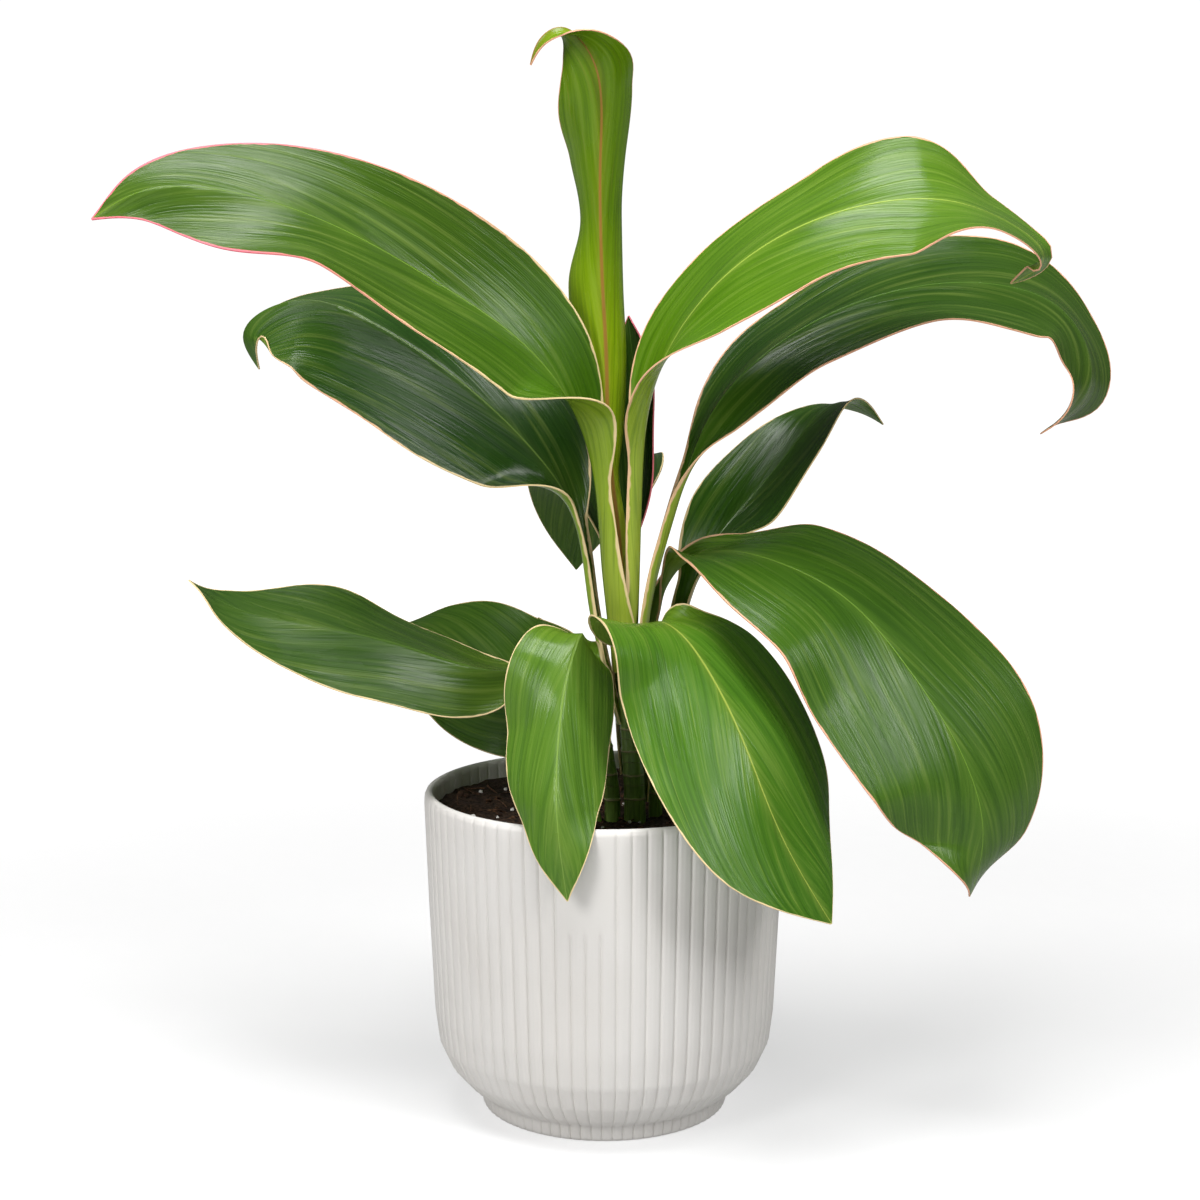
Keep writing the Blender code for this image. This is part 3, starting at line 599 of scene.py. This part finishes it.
# leaves
leafShared = {
    "thickness": 0.7, "sheathGap": 0.6, "cadColumns": 6, "cadThickness": 1.0, "rows": 150, "columns": 36,
    "sheathShare": 0.6, "mostClasp": 165, "openingStart": 0.8, "openingShare": 0.22, "skewShare": 0.5,
    "waveRate": 6, "softening": 0.035, "stalkMargin": 1.7,
}
cream = (0.80, 0.62, 0.33)
peach = (0.80, 0.42, 0.26)
pink = (0.75, 0.16, 0.20)
paleGreen = (0.42, 0.55, 0.15)
# Each leaf's upper and under colour ramps run from stalk to tip. They are partly the leaf's own colour and
# partly painted shade and painted light, set to how each leaf is lit: the darkest middle stops of leaves lying
# in the shade of others are painted shade.
leafValues = {
    "leaf_top": {
        "seat": ("cane_main", 254.4, -90), "azimuth": 185, "width": 50, "widest": 0.5, "stalk": 0.22,
        "rise": 0.6, "fall": 1.4, "sheath": 6, "neck": 6, "channel": 110, "arch": 60,
        "skew": 0, "wave": (0, 3, 0, 0),
        "rows": [
            (7.5, -13, 285, 130, -35), (3, -10, 322, 145, -40), (1.5, -8, 345, 145, -40),
            (1, -7, 371, 147, -45), (-1, -6, 410, 150, -40), (-2, -6, 442, 150, -18),
            (-2, -7, 470, 145, -34), (-2, -10, 500, 125, -75), (-9, -16, 521, 40, -50),
            (-21, -18, 529, -30, -10), (-30, -18, 524, -40, 0), (-35, -16, 512, -40, 0)],
        "slot": "leaf_young",
        # The bright yellow-green of this young leaf is partly painted light shining through it.
        "greensAndShade": [
            (0, (0.40, 0.48, 0.06)), (0.3, (0.34, 0.46, 0.02)), (0.6, (0.20, 0.32, 0.006)),
            (1, (0.14, 0.24, 0.004))],
        "undersAndShade": [
            (0, (0.40, 0.48, 0.05)), (0.22, (0.30, 0.42, 0.012)), (0.4, (0.24, 0.36, 0.005)),
            (0.62, (0.13, 0.25, 0.003)), (1, (0.10, 0.20, 0.003))],
        "margins": [(0, cream), (0.6, cream), (0.8, peach), (1, peach)], "marginWidth": 0.9,
        "midrib": (0.30, 0.16, 0.03), "midribWidth": 0.9,
    },
    "leaf_upper_left": {
        "seat": ("cane_main", 222, 190), "azimuth": 190, "width": 76, "widest": 0.42, "stalk": 0.25,
        "rise": 0.8, "fall": 2.0, "sheath": 14, "neck": 8, "channel": 95, "arch": 20,
        "skew": 0.2, "wave": (2, 3, 0, 0.3),
        "rows": [
            (1.5, -15.5, 250, 50, 50), (-1, -17, 275, 50, 40), (-10, -22, 338, 50, 50),
            (-32, -27, 375, -50, 72), (-75, -35, 408, -40, 85), (-125, -44, 436, -35, 65),
            (-178, -56, 452, -60, 50), (-212, -62, 450, -65, 40), (-232, -66, 438, -60, 30)],
        "slot": "leaf_mid",
        "greensAndShade": [
            (0, (0.22, 0.32, 0.02)), (0.2, (0.09, 0.18, 0.008)), (0.34, (0.05, 0.13, 0.004)),
            (0.6, (0.045, 0.10, 0.008)), (1, (0.055, 0.115, 0.010))],
        "undersAndShade": [
            (0, (0.36, 0.44, 0.05)), (0.25, (0.24, 0.35, 0.02)), (0.5, (0.14, 0.24, 0.02)),
            (1, (0.12, 0.22, 0.02))],
        "margins": [(0, cream), (0.45, cream), (0.6, peach), (0.8, pink), (1, pink)], "marginWidth": 1.2,
        "midrib": (0.12, 0.22, 0.02), "midribWidth": 0.6,
    },
    "leaf_second_left": {
        "seat": ("cane_main", 196, 165), "azimuth": 165, "width": 88, "widest": 0.42, "stalk": 0.3,
        "rise": 0.8, "fall": 2.2, "sheath": 6, "neck": 6, "channel": 100, "arch": 20,
        "skew": 0, "wave": (2, 3, 0, 0.3),
        "rows": [
            (-1, -12, 226, 45, 45), (-7, -10, 252, 50, 50), (-16, 0, 300, 30, 50),
            (-38, 8, 332, -60, 60), (-76, 20, 366, -70, 40), (-119, 32, 393, -75, 25),
            (-160, 42, 402, -65, 10), (-184, 48, 385, -60, 10), (-176, 46, 368, -50, 10)],
        "slot": "leaf_dark",
        # The very dark middle stops of this leaf are painted shade.
        "greensAndShade": [
            (0, (0.26, 0.36, 0.03)), (0.25, (0.05, 0.11, 0.008)), (0.4, (0.016, 0.050, 0.006)),
            (0.7, (0.022, 0.065, 0.008)), (1, (0.05, 0.12, 0.010))],
        "undersAndShade": [
            (0, (0.32, 0.42, 0.05)), (0.3, (0.22, 0.34, 0.03)), (0.5, (0.10, 0.20, 0.02)),
            (1, (0.18, 0.30, 0.02))],
        "margins": [(0, cream), (0.5, cream), (0.7, peach), (1, cream)], "marginWidth": 1.0,
        "midrib": (0.10, 0.17, 0.03), "midribWidth": 0.6,
    },
    "leaf_upper_right": {
        "seat": ("cane_main", 238, -10), "azimuth": -10, "width": 80, "widest": 0.45, "stalk": 0.245,
        "rise": 0.8, "fall": 1.9, "sheath": 8, "neck": 9, "channel": 90, "arch": 15,
        "skew": -0.1, "wave": (2, 3, 0, 0.3),
        "rows": [
            (17, -14, 275, 48, 48), (18, -15, 315, 45, 45), (24, -20, 362, 40, 10),
            (46, -27, 402, 30, -30), (91, -38, 436, 35, -45), (140, -46, 448, 50, -42),
            (180, -50, 440, 18, -10), (203, -44, 420, 15, -20), (190, -36, 410, 20, -30)],
        "slot": "leaf_light",
        "greensAndShade": [
            (0, (0.30, 0.40, 0.04)), (0.24, (0.10, 0.22, 0.006)), (0.45, (0.075, 0.18, 0.005)),
            (0.7, (0.085, 0.18, 0.012)), (1, (0.08, 0.18, 0.012))],
        "undersAndShade": [
            (0, (0.38, 0.46, 0.06)), (0.3, (0.28, 0.40, 0.03)), (0.6, (0.20, 0.32, 0.02)),
            (1, (0.22, 0.34, 0.008))],
        "margins": [(0, cream), (0.5, peach), (1, peach)], "marginWidth": 0.9,
        "midrib": (0.30, 0.42, 0.06), "midribWidth": 0.8,
    },
    "leaf_second_right": {
        "seat": ("cane_main", 198, 8), "azimuth": 8, "width": 78, "widest": 0.45, "stalk": 0.31,
        "rise": 0.8, "fall": 2.2, "sheath": 8, "neck": 7, "channel": 85, "arch": 20,
        "skew": -0.3, "wave": (2, 3, 0, 0.3),
        "rows": [
            (20, -13, 228, 45, 45), (22, -11, 250, 43, 43), (35, -1, 300, 45, 45),
            (52, 10, 345, 20, -50), (93, 26, 385, 20, -28), (150, 38, 408, 35, -28),
            (202, 44, 410, 38, -35), (235, 44, 395, 33, -36), (245, 36, 360, 48, -55),
            (220, 30, 336, 10, -10)],
        "slot": "leaf_dark",
        "greensAndShade": [
            (0, (0.28, 0.38, 0.04)), (0.28, (0.05, 0.13, 0.006)), (0.45, (0.020, 0.060, 0.005)),
            (0.75, (0.035, 0.085, 0.008)), (1, (0.05, 0.10, 0.010))],
        "undersAndShade": [
            (0, (0.38, 0.46, 0.06)), (0.3, (0.26, 0.36, 0.03)), (0.5, (0.12, 0.20, 0.02)),
            (1, (0.060, 0.100, 0.010))],
        "margins": [(0, cream), (0.5, peach), (1, peach)], "marginWidth": 0.9,
        "midrib": (0.08, 0.17, 0.02), "midribWidth": 0.6,
    },
    "leaf_short_right": {
        "seat": ("cane_right", 194, 60), "azimuth": 40, "width": 52, "widest": 0.4, "stalk": 0.33,
        "rise": 0.8, "fall": 1.1, "sheath": 5, "neck": 8, "channel": 70, "arch": 15,
        "skew": 0, "wave": (1, 3, 0, 0.3),
        "rows": [
            (35, 4, 225, 40, 40), (41, 18, 250, 40, 40), (53, 37, 275, 60, 20),
            (71, 53, 296, 48, -5), (97, 66, 325, 25, 5), (128, 80, 350, -10, 10),
            (148, 84, 338, 10, 10)],
        "slot": "leaf_dark",
        "greensAndShade": [
            (0, (0.24, 0.34, 0.03)), (0.3, (0.05, 0.13, 0.006)), (0.5, (0.028, 0.085, 0.006)),
            (1, (0.045, 0.11, 0.010))],
        "undersAndShade": [
            (0, (0.32, 0.42, 0.05)), (0.3, (0.20, 0.30, 0.03)), (0.5, (0.08, 0.16, 0.02)),
            (1, (0.08, 0.16, 0.02))],
        "margins": [(0, cream), (1, cream)], "marginWidth": 0.7,
        "midrib": (0.08, 0.17, 0.02), "midribWidth": 0.6,
    },
    "leaf_big_right": {
        "seat": ("cane_main", 156, 38), "azimuth": -25, "width": 110, "widest": 0.55, "stalk": 0.31,
        "rise": 0.7, "fall": 1.8, "sheath": 6, "neck": 7, "channel": 70, "arch": -10,
        "skew": 0.3, "wave": (2, 3, 0, 0.3),
        "rows": [
            (20.5, -6, 190, 95, -35), (23, -2, 222, 95, -35), (26, 8, 247, 90, -30),
            (37, 9, 270, 40, 45), (55, -4, 280, 10, 0), (83, -23, 277, 20, -25),
            (115, -37, 261, 20, -32), (143, -50, 230, 25, -45), (168, -61, 190, 32, -40),
            (178, -65, 150, 28, -55), (173, -62, 122, 0, 0)],
        "slot": "leaf_mid",
        "greensAndShade": [
            (0, (0.24, 0.34, 0.03)), (0.28, (0.09, 0.18, 0.006)), (0.4, (0.045, 0.12, 0.006)),
            (0.75, (0.050, 0.120, 0.012)), (1, (0.065, 0.14, 0.014))],
        "undersAndShade": [
            (0, (0.32, 0.42, 0.05)), (0.3, (0.18, 0.28, 0.03)), (0.5, (0.10, 0.20, 0.03)),
            (1, (0.10, 0.20, 0.03))],
        "margins": [(0, cream), (0.5, peach), (1, peach)], "marginWidth": 0.9,
        "midrib": (0.14, 0.26, 0.03), "midribWidth": 0.7,
    },
    "leaf_front_right": {
        "seat": ("cane_right", 200, -50), "azimuth": -45, "width": 98, "widest": 0.5, "stalk": 0.2,
        "rise": 0.45, "fall": 1.6, "sheath": 5, "neck": 7, "channel": 60, "arch": -15,
        "skew": -0.4, "wave": (2, 3, 0, 0.3),
        "rows": [
            (29, -18, 232, 30, 30), (24, -28, 248, 10, 12), (32, -42, 248, 5, 5),
            (47, -57, 232, 0, -20), (63, -75, 202, 4, -30), (81, -88, 158, -5, -10),
            (104, -94, 118, 0, 0)],
        "slot": "leaf_mid",
        "greensAndShade": [
            (0, (0.30, 0.40, 0.04)), (0.2, (0.13, 0.24, 0.015)), (0.35, (0.070, 0.18, 0.012)),
            (1, (0.050, 0.135, 0.010))],
        "undersAndShade": [(0, (0.32, 0.42, 0.05)), (0.3, (0.14, 0.26, 0.03)), (1, (0.10, 0.22, 0.03))],
        "margins": [(0, cream), (1, cream)], "marginWidth": 0.7,
        "midrib": (0.30, 0.38, 0.06), "midribWidth": 0.8,
    },
    "leaf_front_left": {
        "seat": ("cane_left", 212, -105), "azimuth": -100, "width": 60, "widest": 0.4, "stalk": 0.2,
        "rise": 0.5, "fall": 1.2, "sheath": 5, "neck": 6, "channel": 60, "arch": -15,
        "skew": 0, "wave": (1, 3, 0, 0.3),
        "rows": [
            (-9.5, -29, 236, 15, 10), (-11, -42, 245, -50, 12), (-16, -57, 234, -48, 10),
            (-21, -76, 206, -46, -25), (-22, -95, 172, -45, -30), (-17, -98, 130, 0, 0)],
        "slot": "leaf_mid",
        "greensAndShade": [
            (0, (0.30, 0.40, 0.04)), (0.2, (0.13, 0.24, 0.015)), (0.35, (0.090, 0.19, 0.018)),
            (1, (0.080, 0.18, 0.016))],
        "undersAndShade": [(0, (0.32, 0.42, 0.05)), (0.3, (0.14, 0.26, 0.03)), (1, (0.10, 0.22, 0.03))],
        "margins": [(0, cream), (1, cream)], "marginWidth": 0.7,
        "midrib": (0.18, 0.30, 0.05), "midribWidth": 0.7,
    },
    "leaf_low_left": {
        "seat": ("cane_left", 200, 188), "azimuth": 188, "width": 62, "widest": 0.45, "stalk": 0.215,
        "rise": 0.45, "fall": 1.1, "sheath": 5, "neck": 6, "channel": 60, "arch": 10,
        "skew": 0, "wave": (1.5, 3, 0, 0.3),
        "rows": [
            (-22, -18, 219, 10, 35), (-49, -20, 223, -72, 10), (-100, -30, 238, -60, 20),
            (-150, -38, 250, -52, 38), (-180, -42, 259, -30, 30), (-197, -44, 271, 0, 0)],
        "slot": "leaf_mid",
        "greensAndShade": [
            (0, (0.24, 0.34, 0.03)), (0.22, (0.08, 0.15, 0.012)), (0.4, (0.045, 0.10, 0.012)),
            (1, (0.045, 0.105, 0.014))],
        "undersAndShade": [(0, (0.32, 0.42, 0.05)), (0.3, (0.14, 0.24, 0.03)), (1, (0.10, 0.20, 0.03))],
        "margins": [(0, cream), (1, cream)], "marginWidth": 0.6,
        "midrib": (0.07, 0.14, 0.02), "midribWidth": 0.6,
    },
    "leaf_back_left": {
        "seat": ("cane_left", 186, 150), "azimuth": 150, "width": 76, "widest": 0.28, "stalk": 0.2,
        "rise": 0.5, "fall": 1.3, "sheath": 5, "neck": 6, "channel": 60, "arch": 0,
        "skew": 0, "wave": (1.5, 3, 0, 0.3),
        "rows": [
            (-16, 0, 206, 30, 40), (-32, 14, 211, -60, 45), (-46, 24, 209, -85, 58),
            (-64, 36, 216, -55, 55), (-92, 52, 226, -40, 45), (-124, 66, 232, 0, 0)],
        "slot": "leaf_mid",
        "greensAndShade": [
            (0, (0.24, 0.34, 0.03)), (0.22, (0.08, 0.17, 0.012)), (0.4, (0.060, 0.14, 0.014)),
            (1, (0.060, 0.14, 0.014))],
        "undersAndShade": [(0, (0.32, 0.42, 0.05)), (0.3, (0.14, 0.24, 0.03)), (1, (0.10, 0.20, 0.03))],
        "margins": [(0, cream), (1, cream)], "marginWidth": 0.6,
        "midrib": (0.10, 0.20, 0.03), "midribWidth": 0.6,
    },
    "leaf_back": {
        "seat": ("cane_main", 170, 90), "azimuth": 100, "width": 70, "widest": 0.42, "stalk": 0.37,
        "rise": 0.8, "fall": 1.6, "sheath": 8.5, "neck": 6, "channel": 50, "arch": 10,
        "skew": 0, "wave": (2, 3, 0, 0.3),
        "rows": [
            (11, -3, 215, 20, 20), (6, 4, 252, 40, 40), (3, 20, 288, 30, 30), (0, 52, 315, 10, 10),
            (-6, 98, 318, 0, 0), (-12, 145, 290, 0, 0), (-16, 172, 250, 0, 0)],
        "slot": "leaf_dark",
        "greensAndShade": [
            (0, (0.20, 0.30, 0.03)), (0.3, (0.05, 0.11, 0.008)), (0.5, (0.018, 0.055, 0.005)),
            (1, (0.030, 0.080, 0.008))],
        "undersAndShade": [(0, (0.26, 0.36, 0.04)), (0.3, (0.10, 0.18, 0.02)), (1, (0.06, 0.13, 0.015))],
        "margins": [(0, cream), (1, cream)], "marginWidth": 0.7,
        "midrib": (0.07, 0.15, 0.02), "midribWidth": 0.6,
    },
    "leaf_back_right": {
        "seat": ("cane_main", 212, 90), "azimuth": 60, "width": 32, "widest": 0.5, "stalk": 0.41,
        "rise": 0.8, "fall": 1.4, "sheath": 4, "neck": 4, "channel": 50, "arch": 40,
        "skew": 0, "wave": (1, 3, 0, 0.3),
        "rows": [
            (10.5, -2.5, 250, 25, 25), (15, 0, 300, 25, 25), (16, 10, 350, 30, 30), (12, 24, 395, 20, 20)],
        "slot": "leaf_dark",
        "greensAndShade": [
            (0, (0.20, 0.30, 0.03)), (0.3, (0.05, 0.11, 0.008)), (0.5, (0.018, 0.055, 0.005)),
            (1, (0.030, 0.080, 0.008))],
        "undersAndShade": [(0, (0.26, 0.36, 0.04)), (0.3, (0.08, 0.16, 0.02)), (1, (0.05, 0.11, 0.012))],
        "margins": [(0, cream), (0.5, pink), (1, pink)], "marginWidth": 0.8,
        "midrib": (0.07, 0.15, 0.02), "midribWidth": 0.6,
    },
}


def smoothStep(value):
    value = np.clip(value, 0, 1)
    return value * value * (3 - 2 * value)


def naturalSpline(knots, values, at):
    knots, values = np.asarray(knots, float), np.asarray(values, float)
    count = len(knots)
    step = np.diff(knots)
    matrix = np.eye(count)
    right = np.zeros_like(values)
    for i in range(1, count - 1):
        matrix[i, i - 1:i + 2] = step[i - 1], 2 * (step[i - 1] + step[i]), step[i]
        right[i] = 6 * ((values[i + 1] - values[i]) / step[i] - (values[i] - values[i - 1]) / step[i - 1])
    bend = np.linalg.solve(matrix, right)
    k = np.clip(np.searchsorted(knots, at, side="right") - 1, 0, count - 2)
    width = step[k][:, None]
    low = (knots[k + 1] - at)[:, None] / width
    high = 1 - low
    line = low * values[k] + high * values[k + 1]
    return line + ((low**3 - low) * bend[k] + (high**3 - high) * bend[k + 1]) * width**2 / 6


def seatPoint(leaf):
    cane, height, azimuth = leaf["seat"]
    x, y, radius = caneAt(cane, height)
    half = leafShared["cadThickness"] / 2
    onTop = height > caneValues[cane]["path"][-1][2]
    reach = radius - half if onTop else radius + leafShared["sheathGap"] + half
    reach /= math.cos(leaf["sheath"] / reach / leafShared["cadColumns"])
    turn = math.radians(azimuth)
    return x + reach * math.cos(turn), y + reach * math.sin(turn), height


def halfWidth(share, leaf):
    half = leaf["width"] / 2
    along = np.clip((share - leaf["stalk"]) / (1 - leaf["stalk"]), 0, 1)
    widest = leaf["widest"]
    rise = np.sin(math.pi / 2 * np.clip(along / widest, 0, 1) ** leaf["rise"])
    fall = np.cos(math.pi / 2 * np.clip((along - widest) / (1 - widest), 0, 1) ** leaf["fall"])
    blend = smoothStep(share / leaf["stalk"])
    stalk = leaf["sheath"] + (leaf["neck"] - leaf["sheath"]) * blend
    width = np.where(along < widest, stalk + (half - stalk) * rise, half * fall)
    return np.maximum(width, 0.35 + 0.65 * (share < 0.5))


# Takes the kinks out of a row of widths, keeping its ends.
def soften(values, reach):
    shape = np.hanning(2 * reach + 3)[1:-1]
    padded = np.pad(values, reach, mode="reflect", reflect_type="odd")
    return np.convolve(padded, shape / shape.sum(), mode="valid")


# The middle surface of a leaf, rows along it and columns across it, with its place on the leaf.
def leafSheet(leaf, rows, columns):
    shared = leafShared
    table = np.array([seatPoint(leaf) + leaf["rows"][0][3:]] + leaf["rows"], float)
    knots = np.append(0, np.cumsum(np.linalg.norm(np.diff(table[:, :3], axis=0), axis=1)))
    fine = np.linspace(0, knots[-1], 401)
    curve = naturalSpline(knots, table[:, :3], fine)
    lengths = np.append(0, np.cumsum(np.linalg.norm(np.diff(curve, axis=0), axis=1)))
    share = np.linspace(0, 1, rows + 1)
    place = np.interp(share * lengths[-1], lengths, fine)
    midrib = naturalSpline(knots, table[:, :3], place)
    slopes = np.gradient(curve, fine, axis=0)
    ahead = np.stack([np.interp(place, fine, slopes[:, axis]) for axis in range(3)], 1)
    ahead /= np.linalg.norm(ahead, axis=1)[:, None]
    turn = math.radians(leaf["azimuth"])
    level = np.array([-math.sin(turn), math.cos(turn), 0])
    side = level - (ahead @ level)[:, None] * ahead
    side /= np.linalg.norm(side, axis=1)[:, None]
    up = np.cross(ahead, side)
    width = halfWidth(share, leaf)
    x, y, _ = caneAt(leaf["seat"][0], midrib[:, 2])
    offX, offY = midrib[:, 0] - x, midrib[:, 1] - y
    roll = (np.degrees(np.arctan2(offY, offX) - turn) + 180) % 360 - 180
    free = smoothStep(share / (shared["sheathShare"] * leaf["stalk"]))
    opening = smoothStep((share - shared["openingStart"] * leaf["stalk"]) / shared["openingShare"])
    skew = leaf["skew"] * (1 - smoothStep(share / shared["skewShare"]))
    height, count, *phases = leaf["wave"]
    fadeIn = np.clip((share - leaf["stalk"]) * shared["waveRate"], 0, 1)
    waving = height * width / (leaf["width"] / 2) * fadeIn
    points = np.repeat(midrib[:, None], columns + 1, axis=1)
    leafPlace = np.zeros((rows + 1, columns + 1, 3))
    veinPlace = np.zeros((rows + 1, columns + 1, 3))
    leafPlace[:, :, 0] = share[:, None]
    leafPlace[:, :, 2] = width[:, None]
    length = lengths[-1]
    for sign in (-1, 1):
        reach = soften(width * (1 + sign * skew), round(rows * shared["softening"]))
        reach = np.maximum(reach, 0.35)
        clasp = np.minimum(np.degrees(reach / np.hypot(offX, offY)), shared["mostClasp"])
        bend = clasp + (leaf["channel"] - clasp) * free
        bend = np.radians(bend + (leaf["arch"] - bend) * opening)
        bend = np.where(abs(bend) < 0.03, 0.03, bend)
        lift = steadySpline(knots, table[:, 3 if sign > 0 else 4], place)
        clasped = clasp / 2 + sign * roll
        lift = np.radians(clasped + (lift - clasped) * free)
        wave = waving * np.sin(2 * math.pi * (count * share + phases[sign < 0]))
        for step in range(0, columns // 2 + 1):
            across = 2 * step / columns
            start = lift - bend / 2
            end = start + bend * across
            out = reach * (np.sin(end) - np.sin(start)) / bend - wave * across**2 * np.sin(lift)
            rise = reach * (np.cos(start) - np.cos(end)) / bend + wave * across**2 * np.cos(lift)
            column = columns // 2 + sign * step
            if step:
                points[:, column] += side * (sign * out)[:, None] + up * rise[:, None]
            leafPlace[:, column, 1] = sign * across
            veinPlace[:, column, 0] = 1.5 * (share * leaf["width"] / 2 + reach * math.log(1 - across / 1.5))
            veinPlace[:, column, 1] = length * share
            veinPlace[:, column, 2] = reach * (1 - across)
    return points, leafPlace, veinPlace


def makeLeafGroup():
    group, given, made = startGroup("leafSurface", [
        ("Green", "colour"), ("Margin", "colour"), ("Margin Width", "value"), ("Midrib", "colour"),
        ("Midrib Width", "value"), ("Vein Paleness", "value"), ("Mottling", "value")],
        [("Colour", "colour"), ("Roughness", "value"), ("Height", "value")])
    along, across, half = addSplit(group, addAttribute(group, "leafPlace"))
    vein, length, toEdge = addSplit(group, addAttribute(group, "veinPlace"))
    aside = addMath(group, "ABSOLUTE", across)
    place = addPlace(group)
    toMidrib = addMath(group, "MULTIPLY", aside, half)
    bladeShare = addStep(group, along, 0.15, 0.4)

    # noise drawn out along the veins: so many per millimetre across them and along them
    def streak(acrossRate, alongRate, detail):
        spot = addJoin(group, addMath(group, "MULTIPLY", vein, acrossRate),
                       addMath(group, "MULTIPLY", length, alongRate), across)
        return addNoise(group, spot, 1, detail, 0.55)

    fine, streaks, broad = streak(0.85, 0.022, 2), streak(0.28, 0.011, 2), streak(0.09, 0.008, 1)
    patches = streak(0.05, 0.022, 2)
    cloud = addNoise(group, place, 28, 3, 0.55)
    # The green comes from the ramp along the leaf and carries painted shade and painted light with the leaf's
    # own colour.
    colour = given["Green"]
    mottled = addMath(group, "MULTIPLY", given["Mottling"], addStep(group, cloud, 0.45, 0.75))
    colour = addMix(group, mottled, colour, addMix(group, 1.0, colour, (0.60, 0.72, 0.7), "MULTIPLY"))
    darker = addMix(group, 1.0, colour, (0.62, 0.70, 0.7), "MULTIPLY")
    lighter = addMix(group, 0.14, colour, (0.50, 0.62, 0.14))
    colour = addMix(group, addStep(group, streaks, 0.32, 0.5, 0.75, 0), colour, darker)
    colour = addMix(group, addStep(group, streaks, 0.5, 0.72, 0, 0.7), colour, lighter)
    colour = addMix(group, addStep(group, fine, 0.30, 0.5, 0.5, 0), colour, darker)
    pale = addMath(group, "MULTIPLY", addStep(group, fine, 0.60, 0.78),
                   addMath(group, "MULTIPLY", given["Vein Paleness"], bladeShare))
    colour = addMix(group, pale, colour, given["Midrib"])
    colour = addMix(group, addStep(group, toMidrib, 0.0, 5.0, 0.16, 0.0), colour, given["Midrib"])
    thin = addMath(group, "MULTIPLY", given["Midrib Width"], addStep(group, along, 0.3, 1.0, 1.0, 0.45))
    midribLine = addMath(group, "SUBTRACT", 1.0,
                         addStep(group, toMidrib, addMath(group, "MULTIPLY", thin, 0.35), thin))
    colour = addMix(group, midribLine, colour, given["Midrib"])
    uneven = addStep(group, addNoise(group, place, 90, 2), 0.3, 0.7, 0.55, 1.3)
    ragged = addMath(group, "MULTIPLY", given["Margin Width"], uneven)
    marginLine = addMath(group, "SUBTRACT", 1.0,
                         addStep(group, toEdge, addMath(group, "MULTIPLY", ragged, 0.55), ragged))
    colour = addMix(group, marginLine, colour, given["Margin"])
    group.links.new(colour, made["Colour"])
    rough = addMath(group, "ADD", addStep(group, patches, 0.35, 0.65, 0.17, 0.30),
                    addMath(group, "MULTIPLY", fine, 0.06))
    rough = addMath(group, "ADD", rough, addMath(group, "MULTIPLY", marginLine, 0.15))
    group.links.new(rough, made["Roughness"])
    height = addMath(group, "MULTIPLY", fine, 0.8)
    height = addMath(group, "ADD", height, addMath(group, "MULTIPLY", streaks, 1.1))
    height = addMath(group, "ADD", height, addMath(group, "MULTIPLY", broad, 2.4))
    height = addMath(group, "SUBTRACT", height, addMath(group, "MULTIPLY", midribLine, 0.5))
    group.links.new(height, made["Height"])
    return group


def makeLeafMaterial(name, group, stops, leaf, under):
    material, tree, shader = startMaterial(name, 0.3, 0.22)
    along = addSplit(tree, addAttribute(tree, "leafPlace"))[0]
    thin = leaf["marginWidth"] * (0.7 if under else 1)
    wide = leafShared["stalkMargin"]
    # The ramp along the leaf holds painted shade and painted light as well as the leaf's own green.
    out = addGroup(tree, group, {
        "Green": addRamp(tree, along, stops), "Margin": addRamp(tree, along, leaf["margins"]),
        "Margin Width": addStep(tree, along, leaf["stalk"] * 0.9, leaf["stalk"] * 1.7, wide, thin),
        "Midrib": leaf["midrib"],
        "Midrib Width": leaf["midribWidth"] * (1.5 if under else 1), "Vein Paleness": 0.2 if under else 0.35,
        "Mottling": 0.35})
    tree.links.new(out["Colour"], shader.inputs["Base Color"])
    tree.links.new(out["Roughness"], shader.inputs["Roughness"])
    addBump(tree, shader, out["Height"], 0.00022)
    return material


def makeLeaf(name, leaf, group):
    rows, columns = leafShared["rows"], leafShared["columns"]
    deselectAll()
    bpy.ops.mesh.primitive_grid_add(x_subdivisions=columns, y_subdivisions=rows, size=1)
    piece = bpy.context.active_object
    piece.name = name + "_blade"
    flat = getPoints(piece)
    column = np.rint((flat[:, 0] + 0.5) * columns).astype(int)
    row = np.rint((flat[:, 1] + 0.5) * rows).astype(int)
    points, leafPlace, veinPlace = leafSheet(leaf, rows, columns)
    setPoints(piece, points[row, columns - column] * mm)
    keepVector(piece, "leafPlace", leafPlace[row, columns - column])
    keepVector(piece, "veinPlace", veinPlace[row, columns - column])
    bpy.context.view_layer.objects.active = piece
    thick = piece.modifiers.new("thickness", "SOLIDIFY")
    thick.thickness = leafShared["thickness"] * mm
    thick.offset = 0
    thick.use_quality_normals = True
    thick.material_offset = 1
    upper = makeLeafMaterial(name + "_upper", group, leaf["greensAndShade"], leaf, False)
    under = makeLeafMaterial(name + "_under", group, leaf["undersAndShade"], leaf, True)
    piece.data.materials.append(upper)
    piece.data.materials.append(under)
    applyModifiers(piece)
    finishPiece(piece, None, [name], 70)


leafGroup = makeLeafGroup()
for leafName, leafLook in leafValues.items():
    makeLeaf(leafName, leafLook, leafGroup)
print("leaves made")
